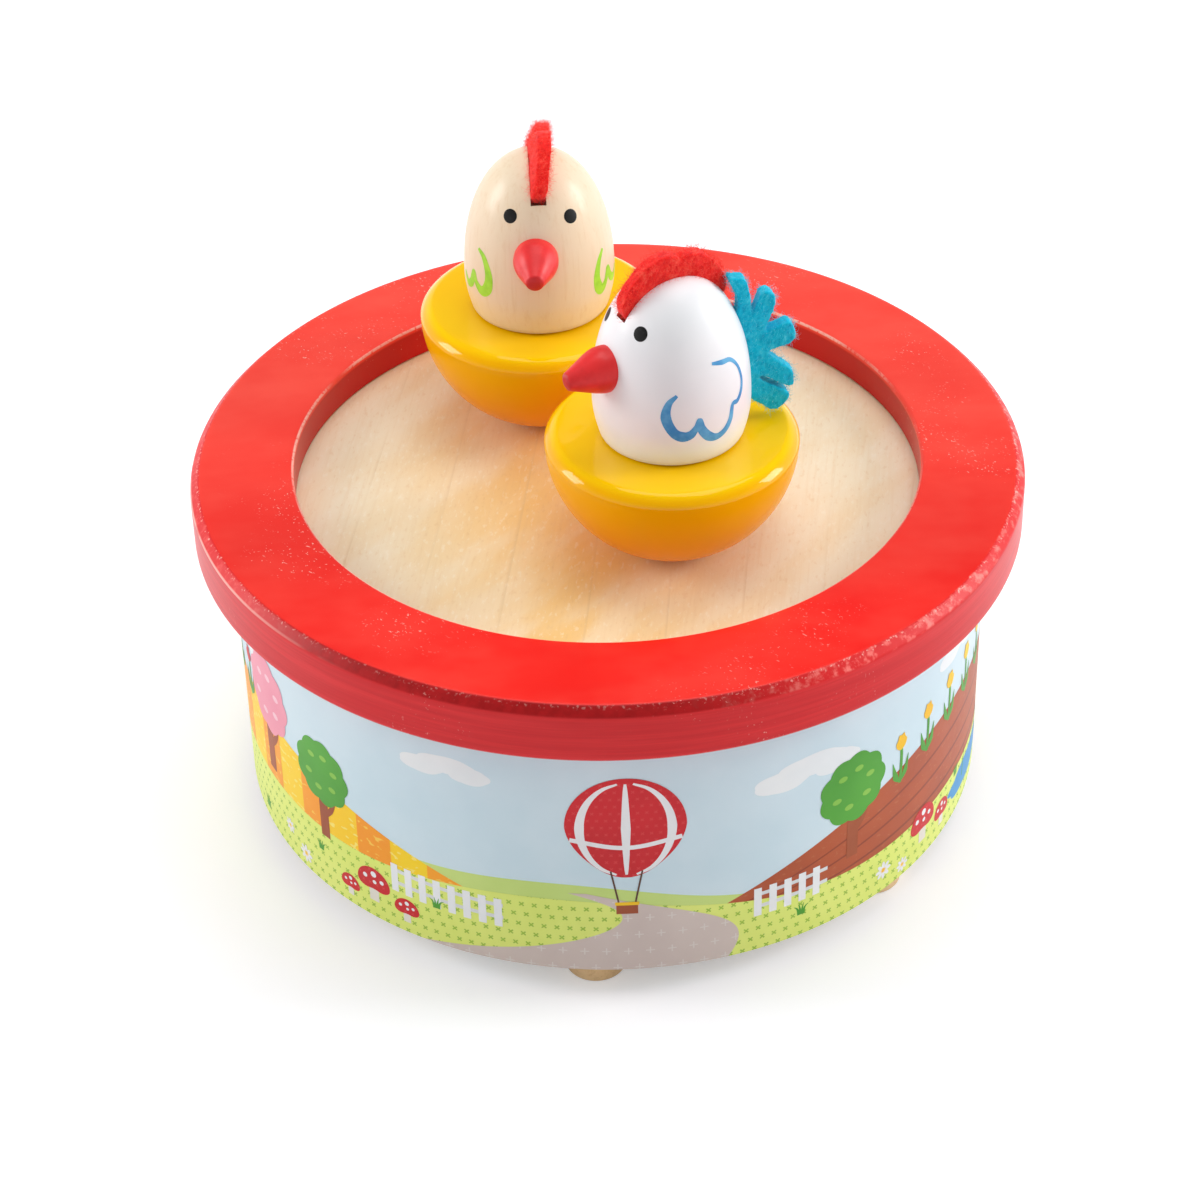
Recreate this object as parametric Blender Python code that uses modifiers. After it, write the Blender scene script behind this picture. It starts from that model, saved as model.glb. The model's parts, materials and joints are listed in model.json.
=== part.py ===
"""Wooden wind-up music box: a wrapped drum under a painted overhanging ring, with a recessed stage on
which two chickens on half balls are carried round by magnets. A spring movement inside plays a comb and
turns the magnets. Metres, +Z up, front towards -Y, origin at the centre of the feet on the table."""

import math

import bmesh
import bpy
from mathutils import Matrix, Vector

# Fits between neighbouring pieces
GAP = 0.0003
SNUG_GAP = 0.00012
OVERRUN = 0.002
MERGE_DISTANCE = 0.00001
WELD_DISTANCE = 0.000001
SHARP_ANGLE = math.radians(40)

# Drum, ring and stage
RING_HOLE_RADIUS = 0.062
RING_WIDTH = 0.0205
RING_OVERHANG = 0.007
RING_THICKNESS = 0.012
RING_TOP_ROUNDING = 0.0019
RING_FOOT_ROUNDING = 0.001
RING_LIP_ROUNDING = 0.0007
STAGE_DROP = 0.0072
STAGE_LEDGE = 0.0022
WRAP_THICKNESS = 0.00025
WRAP_MARGIN = 0.0004
WRAP_SEAM = 0.0004
WRAP_SEAM_ANGLE = math.radians(92)
WALL_THICKNESS = 0.006
BASE_THICKNESS = 0.005
BASE_ROUNDING = 0.0004

# Feet, at the corners of a rectangle whose long middle line is turned away from the front
FOOT_HEIGHT = 0.005
FOOT_RADIUS = 0.006
FOOT_ROUNDING = 0.0008
FOOT_INSET = 0.00787
FEET_TURN = math.radians(-67)
FEET_SPREAD = math.radians(26.6)

# Wood screws that hold the base to the wall
BASE_SCREW_COUNT = 4
BASE_SCREW_TURN = math.radians(-22)
BASE_SCREW_RADIUS = 0.0011
BASE_SCREW_HEAD_RADIUS = 0.0022
BASE_SCREW_HEAD_HEIGHT = 0.0014
BASE_SCREW_BITE = 0.009
BASE_SCREW_SINK = 0.0003

# Key well and the board that carries the movement
WELL_RADIUS = 0.02
WELL_WALL = 0.007
WELL_HEIGHT = 0.0104
BOARD_THICKNESS = 0.004
ARBOR_HOLE_RADIUS = 0.0032

# Bedplate of the movement, with its two bearing posts and the rail under the comb
BED_THICKNESS = 0.002
BED_BACK = 0.017
BED_FRONT = 0.0255
BED_LEFT = 0.0145
BED_RIGHT = 0.0435
BED_CORNER = 0.003
POST_THICKNESS = 0.0014
POST_WIDTH = 0.006
POST_RISE = 0.0025
RAIL_WIDTH = 0.006
RAIL_END_MARGIN = 0.0015
MOVEMENT_SCREW_RADIUS = 0.0015
MOVEMENT_SCREW_HEAD_RADIUS = 0.0029
MOVEMENT_SCREW_HEAD_HEIGHT = 0.0018
MOVEMENT_SCREW_INSET = 0.0045
WELL_SCREW_REACH = 0.0142
WELL_SCREW_TURN = math.radians(135)

# Spring barrel with its crown of teeth, mainspring and arbor
BARREL_RADIUS = 0.0103
BARREL_WALL = 0.0008
BARREL_HEIGHT = 0.013
BARREL_CLEARANCE = 0.0007
CROWN_TEETH = 48
CROWN_RADIUS = 0.012
CROWN_FACE = 0.0024
CROWN_FLANGE = 0.0012
CROWN_TOOTH_HEIGHT = 0.0009
CROWN_TOOTH_WIDTH = 0.00042
LID_THICKNESS = 0.001
LID_BOSS_RADIUS = 0.0032
LID_BOSS_HEIGHT = 0.003
ARBOR_RADIUS = 0.0015
SPRING_THICKNESS = 0.0003
SPRING_TURNS = 4
SPRING_POINTS_PER_TURN = 16
SPRING_CORE_RADIUS = 0.0025
SPRING_MARGIN = 0.001

# Cylinder, comb and their gearing
PINION_TEETH = 12
PINION_RADIUS = CROWN_RADIUS * PINION_TEETH / CROWN_TEETH
PINION_TIP = 0.00045
PINION_ROOT = 0.0006
PINION_LENGTH = 0.002
PINION_CLEARANCE = 0.0001
CYLINDER_RADIUS = 0.0065
CYLINDER_WALL = 0.0008
CYLINDER_ARBOR_RADIUS = 0.0009
BEARING_CLEARANCE = 0.00008
CYLINDER_CLEARANCE = 0.0009
NOTE_COUNT = 18
NOTE_PITCH = 0.001
PINS_PER_NOTE = 2
PIN_RADIUS = 0.0002
PIN_HEIGHT = 0.0006
PIN_TURN = math.radians(137.5)
COMB_THICKNESS = 0.001
COMB_TOOTH_SHARE = 0.62
COMB_SHORT_TOOTH = 0.006
COMB_LONG_TOOTH = 0.0105
COMB_TIP_CLEARANCE = 0.0004
COMB_END_MARGIN = 0.0012
COMB_SCREW_RADIUS = 0.001
COMB_SCREW_HEAD_RADIUS = 0.0019
COMB_SCREW_HEAD_HEIGHT = 0.0012
COMB_SCREW_BITE = 0.004

# Governor: wheel, worm and air brake
GOVERNOR_MODULE = 0.0004
CYLINDER_WHEEL_TEETH = 32
GOVERNOR_PINION_TEETH = 8
WORM_WHEEL_TEETH = 20
GEAR_TIP = 0.0004
GEAR_ROOT = 0.0005
GEAR_ROOT_WIDTH = 0.0005
GEAR_TIP_WIDTH = 0.0002
GEAR_THICKNESS = 0.0012
GOVERNOR_ARBOR_RADIUS = 0.0006
WORM_CORE_RADIUS = 0.0009
WORM_THREAD_RADIUS = 0.00028
WORM_TURNS = 3
WORM_POINTS_PER_TURN = 12
WORM_DISTANCE_SPARE = 0.0014
BRACKET_THICKNESS = 0.001
BRACKET_MARGIN = 0.0022
BRACKET_ARM_WIDTH = 0.003
FLY_WIDTH = 0.009
FLY_HEIGHT = 0.0036
FLY_THICKNESS = 0.0004
FLY_HUB_RADIUS = 0.001

# Wing key
KEY_WIDTH = 0.023
KEY_HEIGHT = 0.0085
KEY_THICKNESS = 0.0018
KEY_CLEARANCE = 0.0022
KEY_HUB_RADIUS = 0.0032
KEY_HUB_HEIGHT = 0.007
KEY_WAIST_SHARE = 0.5
KEY_TURN = math.radians(20)

# Turntable with its magnets
TURNTABLE_RADIUS = 0.042
TURNTABLE_THICKNESS = 0.0035
TURNTABLE_POCKET_DEPTH = 0.0022
DRIVE_MAGNET_RADIUS = 0.0075
DRIVE_MAGNET_THICKNESS = 0.003
STAGE_CLEARANCE = 0.0005
DRIVE_SHAFT_RADIUS = 0.0015
HUB_RADIUS = 0.006
HUB_HEIGHT = 0.006
HUB_HEADROOM = 0.0063
HUB_SCREW_RADIUS = 0.001
HUB_SCREW_PROUD = 0.0012

# Half balls that the dancers stand on
BOWL_RADIUS = 0.0244
BOWL_FLAT_RADIUS = 0.0062
BOWL_FACE_RISE = 0.0014
BOWL_FACE_ROUNDING = 0.0033
BOWL_MAGNET_RADIUS = 0.0042
BOWL_MAGNET_THICKNESS = 0.003
BOWL_MAGNET_INSET = 0.0003
DOWEL_RADIUS = 0.0025
DOWEL_DEPTH = 0.008

# Eggs, beaks and felt
EGG_RADIUS = 0.01505
EGG_WAIST_HEIGHT = 0.0075
EGG_CROWN_HEIGHT = 0.0266
EGG_BASE_RADIUS = 0.0137
EGG_BASE_ROUNDING = 0.0006
EGG_FULLNESS = 2.12
EGG_FOOT_SHARES = (0.6, 0.25)
BEAK_HEIGHT = 0.0174
BEAK_RADIUS = 0.0044
BEAK_TIP_RADIUS = 0.0017
BEAK_REACH = 0.0224
BEAK_SEAT = 0.0025
BEAK_PROFILE_SHARES = ((0.0, 1.0), (0.34, 1.0), (0.52, 0.9), (0.74, 0.66), (0.93, 0.43), (1.0, 0.27))
FELT_THICKNESS = 0.0028
FELT_DEPTH = 0.0022
COMB_FELT_RISE = 0.006
COMB_FELT_START = math.radians(61)
COMB_FELT_END = math.radians(118)
COMB_FELT_SHARES = (
    (0.0, 0.3), (0.06, 0.62), (0.18, 0.86), (0.32, 1.0), (0.44, 0.98), (0.52, 0.76), (0.56, 0.66),
    (0.61, 0.78), (0.7, 0.88), (0.8, 0.8), (0.9, 0.58), (0.97, 0.34), (1.0, 0.12),
)
COMB_FELT_ROOT_SHARES = (1.0, 0.8, 0.6, 0.4, 0.2, 0.0)
TAIL_REACH = 0.0096
HEN_TAIL_HEIGHT = 0.025
ROOSTER_TAIL_HEIGHT = 0.0313
TAIL_ROOT_SHARES = (0.76, 0.64, 0.52, 0.4, 0.28, 0.153)
TAIL_EDGE_SHARES = (
    (0.03, 0.153), (0.34, 0.077), (0.58, 0.038), (0.77, 0.07), (0.81, 0.153), (0.255, 0.262),
    (0.25, 0.295), (0.835, 0.192), (0.89, 0.268), (0.41, 0.447),
    (0.74, 0.495), (0.93, 0.511), (1.0, 0.613), (0.935, 0.652), (0.43, 0.613),
    (0.735, 0.744), (0.877, 0.827), (0.836, 0.879), (0.677, 0.875), (0.29, 0.748),
    (0.69, 0.997), (0.39, 1.0),
)

# Where each dancer stands: distance from the drum's axis, bearing, heading, tail's height and skew
DANCERS = {
    "hen": {
        "radius": 0.0308,
        "bearing": math.radians(114.3),
        "heading": math.radians(-91),
        "tail_height": HEN_TAIL_HEIGHT,
        "tail_turn": 0,
    },
    "rooster": {
        "radius": 0.0229,
        "bearing": math.radians(-57.1),
        "heading": math.radians(-153),
        "tail_height": ROOSTER_TAIL_HEIGHT,
        "tail_turn": math.radians(-15),
    },
}

# Sides of round pieces
CASE_SIDES = 48
BOWL_SIDES = 28
EGG_SIDES = 24
SHAFT_SIDES = 12
DISC_SIDES = 16
ARC_STEPS = 3
EGG_STEPS = 9
BOWL_STEPS = 7
KEY_STEPS = 6

# Widths and levels that follow from the sizes above
RING_RADIUS = RING_HOLE_RADIUS + RING_WIDTH
WRAP_RADIUS = RING_RADIUS - RING_OVERHANG
WALL_RADIUS = WRAP_RADIUS - WRAP_THICKNESS - GAP
WALL_INNER_RADIUS = WALL_RADIUS - WALL_THICKNESS
STAGE_RADIUS = WALL_INNER_RADIUS + STAGE_LEDGE
BASE_TOP = FOOT_HEIGHT + BASE_THICKNESS
WALL_BOTTOM = BASE_TOP + GAP
BOARD_BOTTOM = WALL_BOTTOM + WELL_HEIGHT + GAP
BOARD_TOP = BOARD_BOTTOM + BOARD_THICKNESS
BED_BOTTOM = BOARD_TOP + GAP
BED_TOP = BED_BOTTOM + BED_THICKNESS
AXLE_HEIGHT = BED_TOP + CYLINDER_RADIUS + PIN_HEIGHT + CYLINDER_CLEARANCE
FLANGE_TOP = AXLE_HEIGHT - PINION_RADIUS - PINION_TIP - PINION_CLEARANCE
BARREL_BOTTOM = BED_TOP + BARREL_CLEARANCE
BARREL_TOP = BARREL_BOTTOM + BARREL_HEIGHT
LID_BOTTOM = BARREL_TOP + GAP
LID_TOP = LID_BOTTOM + LID_THICKNESS
HUB_BOTTOM = LID_TOP + LID_BOSS_HEIGHT + HUB_HEADROOM
TURNTABLE_BOTTOM = HUB_BOTTOM + HUB_HEIGHT + GAP
TURNTABLE_TOP = TURNTABLE_BOTTOM + TURNTABLE_THICKNESS
DRIVE_MAGNET_BOTTOM = TURNTABLE_TOP - TURNTABLE_POCKET_DEPTH + GAP
RING_BOTTOM = DRIVE_MAGNET_BOTTOM + DRIVE_MAGNET_THICKNESS + STAGE_CLEARANCE
TOTAL_HEIGHT = RING_BOTTOM + RING_THICKNESS
STAGE_TOP = TOTAL_HEIGHT - STAGE_DROP
WALL_TOP = RING_BOTTOM - GAP
CROWN_OUTER_RADIUS = CROWN_RADIUS + CROWN_FACE / 2
POST_START = CROWN_OUTER_RADIUS + GAP
CYLINDER_START = POST_START + POST_THICKNESS + GAP
CYLINDER_LENGTH = NOTE_COUNT * NOTE_PITCH
CYLINDER_END = CYLINDER_START + CYLINDER_LENGTH
FAR_POST_START = CYLINDER_END + GAP
WHEEL_START = FAR_POST_START + POST_THICKNESS + GAP
BRACKET_START = WHEEL_START + GEAR_THICKNESS + GAP
WORM_OUTER_RADIUS = WORM_CORE_RADIUS + 3 * WORM_THREAD_RADIUS / 2
WORM_X = BRACKET_START + BRACKET_THICKNESS + WORM_OUTER_RADIUS + GAP
WORM_WHEEL_START = WORM_X - GEAR_THICKNESS / 2
CYLINDER_WHEEL_RADIUS = GOVERNOR_MODULE * CYLINDER_WHEEL_TEETH / 2
GOVERNOR_PINION_RADIUS = GOVERNOR_MODULE * GOVERNOR_PINION_TEETH / 2
WORM_WHEEL_RADIUS = GOVERNOR_MODULE * WORM_WHEEL_TEETH / 2
GOVERNOR_Y = CYLINDER_WHEEL_RADIUS + GOVERNOR_PINION_RADIUS
WORM_Y = GOVERNOR_Y + WORM_WHEEL_RADIUS + WORM_DISTANCE_SPARE
WORM_PITCH = math.pi * GOVERNOR_MODULE
WORM_REACH = WORM_PITCH * (WORM_TURNS + 1) / 2 + WORM_THREAD_RADIUS + GAP
ARM_TOP = AXLE_HEIGHT + WORM_REACH + GAP + BRACKET_THICKNESS
FLY_BOTTOM = ARM_TOP + GAP
FLY_TOP = FLY_BOTTOM + FLY_HEIGHT
EGG_HEIGHT = EGG_WAIST_HEIGHT + EGG_CROWN_HEIGHT
BOWL_CENTRE = GAP + math.sqrt(BOWL_RADIUS**2 - BOWL_FLAT_RADIUS**2)
BOWL_FACE = BOWL_CENTRE + BOWL_FACE_RISE
EGG_BASE = BOWL_FACE + GAP


def clear_scene():
    for obj in list(bpy.data.objects):
        bpy.data.objects.remove(obj, do_unlink=True)


def new_collection(name):
    collection = bpy.data.collections.new(name)
    bpy.context.scene.collection.children.link(collection)
    return collection


clear_scene()
PIECES = new_collection("music_box")
CUTTERS = new_collection("cutters")


def material(name, colour, roughness, metallic=0.0):
    made = bpy.data.materials.new(name)
    made.use_nodes = True
    shader = made.node_tree.nodes["Principled BSDF"]
    shader.inputs["Base Color"].default_value = (*colour, 1.0)
    shader.inputs["Roughness"].default_value = roughness
    shader.inputs["Metallic"].default_value = metallic
    return made


RED_PAINT = material("red_paint", (0.93, 0.06, 0.04), 0.35)
PALE_WOOD = material("pale_wood", (0.86, 0.65, 0.42), 0.5)
RAW_WOOD = material("raw_wood", (0.78, 0.6, 0.4), 0.65)
PRINTED_PAPER = material("printed_paper", (0.55, 0.72, 0.78), 0.55)
YELLOW_PAINT = material("yellow_paint", (1.0, 0.58, 0.0), 0.2)
WHITE_PAINT = material("white_paint", (0.86, 0.86, 0.88), 0.35)
CLEAR_WOOD = material("clear_wood", (0.84, 0.62, 0.38), 0.35)
BEAK_RED = material("beak_red", (0.8, 0.06, 0.05), 0.4)
RED_FELT = material("red_felt", (0.75, 0.01, 0.01), 0.95)
GREEN_FELT = material("green_felt", (0.3, 0.65, 0.02), 0.95)
TURQUOISE_FELT = material("turquoise_felt", (0.0, 0.45, 0.62), 0.95)
BRASS = material("brass", (0.8, 0.6, 0.25), 0.3, 1.0)
STEEL = material("steel", (0.6, 0.6, 0.62), 0.35, 1.0)
ZINC = material("zinc", (0.5, 0.5, 0.5), 0.5, 1.0)
MAGNET = material("magnet", (0.12, 0.12, 0.13), 0.45, 0.6)
NYLON = material("nylon", (0.85, 0.85, 0.8), 0.4)


def shade_smooth(mesh):
    mesh.shade_smooth()
    mesh.set_sharp_from_angle(angle=SHARP_ANGLE)


def add_object(name, mesh, finish, place=(0, 0, 0), parent=None):
    obj = bpy.data.objects.new(name, mesh)
    obj.location = place
    obj.parent = parent
    if finish is None:
        CUTTERS.objects.link(obj)
        obj.hide_render = True
        obj.display_type = "WIRE"
    else:
        PIECES.objects.link(obj)
        mesh.materials.append(finish)
    return obj


def add_axis(name, place, turn=0.0, parent=None):
    """An empty on a joint's axis, which carries the pieces that turn there."""
    empty = bpy.data.objects.new(name, None)
    empty.location = place
    empty.rotation_euler = (0, 0, turn)
    empty.parent = parent
    PIECES.objects.link(empty)
    return empty


def disc(name, radius, low, high, finish, sides=SHAFT_SIDES, place=(0, 0), parent=None, axis="Z"):
    """A round bar from low to high along the axis, through the place across it."""
    mesh = bpy.data.meshes.new(name)
    shape = bmesh.new()
    bmesh.ops.create_cone(
        shape, cap_ends=True, segments=sides, radius1=radius, radius2=radius, depth=high - low
    )
    bmesh.ops.translate(shape, verts=shape.verts, vec=(0, 0, (low + high) / 2))
    if axis == "X":
        bmesh.ops.rotate(shape, verts=shape.verts, matrix=Matrix.Rotation(math.pi / 2, 3, "Y"))
    shape.to_mesh(mesh)
    shape.free()
    shade_smooth(mesh)
    where = (place[0], place[1], 0) if axis == "Z" else (0, place[0], place[1])
    return add_object(name, mesh, finish, where, parent)


def block(name, low, high, finish, parent=None):
    """A box between two corners."""
    mesh = bpy.data.meshes.new(name)
    shape = bmesh.new()
    bmesh.ops.create_cube(shape, size=1)
    size = Vector(high) - Vector(low)
    bmesh.ops.scale(shape, verts=shape.verts, vec=size)
    bmesh.ops.translate(shape, verts=shape.verts, vec=(Vector(high) + Vector(low)) / 2)
    shape.to_mesh(mesh)
    shape.free()
    return add_object(name, mesh, finish, (0, 0, 0), parent)


def turned(name, profile, finish, sides, place=(0, 0, 0), parent=None, closed=False):
    """A profile of (radius, height) points, from its top down its outer side, turned round its own Z axis."""
    mesh = bpy.data.meshes.new(name)
    edges = [(i, i + 1) for i in range(len(profile) - 1)]
    if closed:
        edges.append((len(profile) - 1, 0))
    mesh.from_pydata([(radius, 0, height) for radius, height in profile], edges, [])
    obj = add_object(name, mesh, finish, place, parent)
    screw = obj.modifiers.new("turn", "SCREW")
    screw.axis = "Z"
    screw.steps = sides
    screw.render_steps = sides
    screw.use_merge_vertices = True
    screw.merge_threshold = MERGE_DISTANCE
    return obj


def polar(radius, turn):
    return (radius * math.cos(turn), radius * math.sin(turn))


def arc(centre, radius, start, end, steps=ARC_STEPS):
    """Points on a circle in the (radius, height) plane, from one angle to another."""
    turns = (start + (end - start) * i / steps for i in range(steps + 1))
    return [(centre[0] + radius * math.cos(t), centre[1] + radius * math.sin(t)) for t in turns]


def circle(radius, sides, centre=(0, 0)):
    return arc(centre, radius, 0, 2 * math.pi * (sides - 1) / sides, sides - 1)


def plate(name, outlines, thickness, finish, parent=None):
    """A flat outline, with holes as further outlines, extruded evenly about its own plane."""
    curve = bpy.data.curves.new(name, "CURVE")
    curve.dimensions = "2D"
    curve.fill_mode = "BOTH"
    curve.extrude = thickness / 2
    for outline in outlines:
        spline = curve.splines.new("POLY")
        spline.points.add(len(outline) - 1)
        for point, (x, y) in zip(spline.points, outline):
            point.co = (x, y, 0, 1)
        spline.use_cyclic_u = True
    source = bpy.data.objects.new(name + "_outline", curve)
    CUTTERS.objects.link(source)
    bpy.context.view_layer.update()
    graph = bpy.context.evaluated_depsgraph_get()
    mesh = bpy.data.meshes.new_from_object(source.evaluated_get(graph))
    weld(mesh)
    mesh.name = name
    mesh.materials.clear()
    bpy.data.objects.remove(source, do_unlink=True)
    return add_object(name, mesh, finish, (0, 0, 0), parent)


def weld(mesh):
    shape = bmesh.new()
    shape.from_mesh(mesh)
    bmesh.ops.remove_doubles(shape, verts=shape.verts, dist=WELD_DISTANCE)
    bmesh.ops.recalc_face_normals(shape, faces=shape.faces)
    shape.to_mesh(mesh)
    shape.free()


def combine(target, other, operation):
    step = target.modifiers.new(other.name, "BOOLEAN")
    step.operation = operation
    step.solver = "EXACT"
    step.object = other


def cut(target, cutter):
    combine(target, cutter, "DIFFERENCE")


def fuse(target, other):
    combine(target, other, "UNION")


def toothed_outline(teeth, radius, tip, root, root_width, tip_width, phase=0.0):
    """Straight-sided teeth round a pitch circle, the first one centred on the phase angle."""
    points = []
    for i in range(teeth):
        middle = phase + 2 * math.pi * i / teeth
        foot = math.asin(root_width / 2 / (radius - root))
        crest = math.asin(tip_width / 2 / (radius + tip))
        for reach, turn in ((-root, -foot), (tip, -crest), (tip, crest), (-root, foot)):
            points.append(polar(radius + reach, middle + turn))
    return points


def gear(name, outline, bore, start, length, height_above, across, finish, parent):
    """A toothed plate standing across the X axis, from start to start + length."""
    made = plate(name, [outline, circle(bore, SHAFT_SIDES)], length, finish, parent)
    made.rotation_euler = (math.pi / 2, 0, math.pi / 2)
    made.location = (start + length / 2, across, height_above)
    return made


def make_ring():
    hole, top = RING_HOLE_RADIUS, TOTAL_HEIGHT
    rebate = STAGE_RADIUS + GAP
    lip = RING_LIP_ROUNDING
    profile = (
        arc((hole + lip, top - lip), lip, math.pi, math.pi / 2, 2)
        + arc((RING_RADIUS - RING_TOP_ROUNDING, top - RING_TOP_ROUNDING), RING_TOP_ROUNDING, math.pi / 2, 0)
        + arc((RING_RADIUS - RING_FOOT_ROUNDING, RING_BOTTOM + RING_FOOT_ROUNDING), RING_FOOT_ROUNDING,
              0, -math.pi / 2, 2)
        + [(rebate, RING_BOTTOM), (rebate, STAGE_TOP + GAP), (hole, STAGE_TOP + GAP)]
    )
    turned("top_ring", profile, RED_PAINT, CASE_SIDES, closed=True)


def tube_profile(inner, outer, low, high):
    return [(inner, high), (outer, high), (outer, low), (inner, low)]


def make_case():
    disc("stage_disc", STAGE_RADIUS, RING_BOTTOM, STAGE_TOP, PALE_WOOD, CASE_SIDES)
    wall = turned("drum_wall", tube_profile(WALL_INNER_RADIUS, WALL_RADIUS, WALL_BOTTOM, WALL_TOP),
                  RAW_WOOD, CASE_SIDES, closed=True)
    wrap = turned("paper_wrap", tube_profile(WRAP_RADIUS - WRAP_THICKNESS, WRAP_RADIUS,
                                             FOOT_HEIGHT + BASE_ROUNDING + WRAP_MARGIN, WALL_TOP),
                  PRINTED_PAPER, CASE_SIDES, closed=True)
    seam = block("seam_cutter", (WALL_RADIUS - OVERRUN, -WRAP_SEAM / 2, 0),
                 (WRAP_RADIUS + OVERRUN, WRAP_SEAM / 2, TOTAL_HEIGHT), None)
    seam.rotation_euler = (0, 0, WRAP_SEAM_ANGLE)
    cut(wrap, seam)
    edge = WALL_RADIUS - BASE_ROUNDING
    base = turned("base_disc", [(WELL_RADIUS, BASE_TOP), (WALL_RADIUS, BASE_TOP),
                                (WALL_RADIUS, FOOT_HEIGHT + BASE_ROUNDING), (edge, FOOT_HEIGHT),
                                (WELL_RADIUS, FOOT_HEIGHT)],
                  PALE_WOOD, CASE_SIDES, closed=True)
    make_base_screws(base, wall)
    turned("key_well_ring", tube_profile(WELL_RADIUS, WELL_RADIUS + WELL_WALL, WALL_BOTTOM,
                                         WALL_BOTTOM + WELL_HEIGHT), RAW_WOOD, BOWL_SIDES, closed=True)
    make_feet()


def make_feet():
    reach = WALL_RADIUS - FOOT_INSET
    turns = (FEET_TURN + FEET_SPREAD, FEET_TURN - FEET_SPREAD)
    for i, turn in enumerate(turns + tuple(turn + math.pi for turn in turns)):
        tip = arc((FOOT_RADIUS - FOOT_ROUNDING, FOOT_ROUNDING), FOOT_ROUNDING, 0, -math.pi / 2, 2)
        profile = [(0, FOOT_HEIGHT - GAP), (FOOT_RADIUS, FOOT_HEIGHT - GAP)] + tip + [(0, 0)]
        turned(f"foot_{i + 1}", profile, PALE_WOOD, DISC_SIDES, (*polar(reach, turn), 0))


def screw_profile(shank, head, head_height, length):
    """A pan-head screw pointing up, its head's underside at height 0."""
    crest = head - head_height / 2
    return [(0, length), (shank, length - shank), (shank, 0), (head, 0), (head, -head_height / 2),
            (crest, -head_height), (0, -head_height)]


def make_screw(name, profile, place, finish=STEEL, upside_down=False):
    made = turned(name, profile, finish, SHAFT_SIDES, place)
    if upside_down:
        made.rotation_euler = (math.pi, 0, 0)
    return made


def make_base_screws(base, wall):
    """Countersunk holes in the base, each with a screw that bites into the wall."""
    radius = WALL_RADIUS - WALL_THICKNESS / 2
    head_top = FOOT_HEIGHT + BASE_SCREW_SINK
    for i in range(BASE_SCREW_COUNT):
        turn = BASE_SCREW_TURN + 2 * math.pi * i / BASE_SCREW_COUNT
        place = (*polar(radius, turn), head_top + BASE_SCREW_HEAD_HEIGHT)
        length = BASE_TOP - place[2] + BASE_SCREW_BITE
        profile = [(0, length), (BASE_SCREW_RADIUS, length - BASE_SCREW_RADIUS), (BASE_SCREW_RADIUS, 0),
                   (BASE_SCREW_HEAD_RADIUS, -BASE_SCREW_HEAD_HEIGHT), (0, -BASE_SCREW_HEAD_HEIGHT)]
        make_screw(f"base_screw_{i + 1}", profile, place)
        bore = BASE_SCREW_RADIUS + GAP
        mouth = BASE_SCREW_HEAD_RADIUS + GAP
        low = -BASE_SCREW_HEAD_HEIGHT
        hole = turned(f"base_screw_hole_{i + 1}",
                      [(0, length + GAP), (bore, length + GAP), (bore, GAP), (mouth, low),
                       (mouth, low - OVERRUN), (0, low - OVERRUN)], None, SHAFT_SIDES, place)
        cut(base, hole)
        cut(wall, hole)


def make_board_and_bedplate():
    """The inner board and the cast bedplate, screwed together from below."""
    board = turned("movement_board", tube_profile(ARBOR_HOLE_RADIUS, WALL_INNER_RADIUS - GAP, BOARD_BOTTOM,
                                                  BOARD_TOP), RAW_WOOD, CASE_SIDES, closed=True)
    corners = ((BED_RIGHT, BED_BACK, 0), (-BED_LEFT, BED_BACK, 1), (-BED_LEFT, -BED_FRONT, 2),
               (BED_RIGHT, -BED_FRONT, 3))
    outline = []
    for x, y, quarter in corners:
        centre = (x - math.copysign(BED_CORNER, x), y - math.copysign(BED_CORNER, y))
        outline += arc(centre, BED_CORNER, quarter * math.pi / 2, (quarter + 1) * math.pi / 2, 2)
    inset = MOVEMENT_SCREW_INSET
    spots = [(BED_RIGHT - inset, -BED_FRONT + inset)]
    for turn in (-WELL_SCREW_TURN, WELL_SCREW_TURN):
        spots.append(polar(WELL_SCREW_REACH, turn))
    bore = MOVEMENT_SCREW_RADIUS + GAP
    holes = [circle(bore, SHAFT_SIDES, spot) for spot in spots]
    holes.append(circle(ARBOR_RADIUS + GAP, SHAFT_SIDES))
    bed = plate("bedplate", [outline] + holes, BED_THICKNESS, ZINC)
    bed.location = (0, 0, BED_BOTTOM + BED_THICKNESS / 2)
    for i, spot in enumerate(spots):
        place = (*spot, BOARD_BOTTOM - GAP)
        length = BED_TOP - place[2]
        profile = screw_profile(MOVEMENT_SCREW_RADIUS, MOVEMENT_SCREW_HEAD_RADIUS,
                                MOVEMENT_SCREW_HEAD_HEIGHT, length)
        make_screw(f"movement_screw_{i + 1}", profile, place)
        hole = disc(f"movement_screw_hole_{i + 1}", bore, BOARD_BOTTOM - OVERRUN, BOARD_TOP + OVERRUN, None,
                    place=spot)
        cut(board, hole)
    return bed


def bearing_hole(name, radius, start, length, across, height):
    return disc(name, radius, start - OVERRUN, start + length + OVERRUN, None, SHAFT_SIDES, (across, height),
                axis="X")


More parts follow.
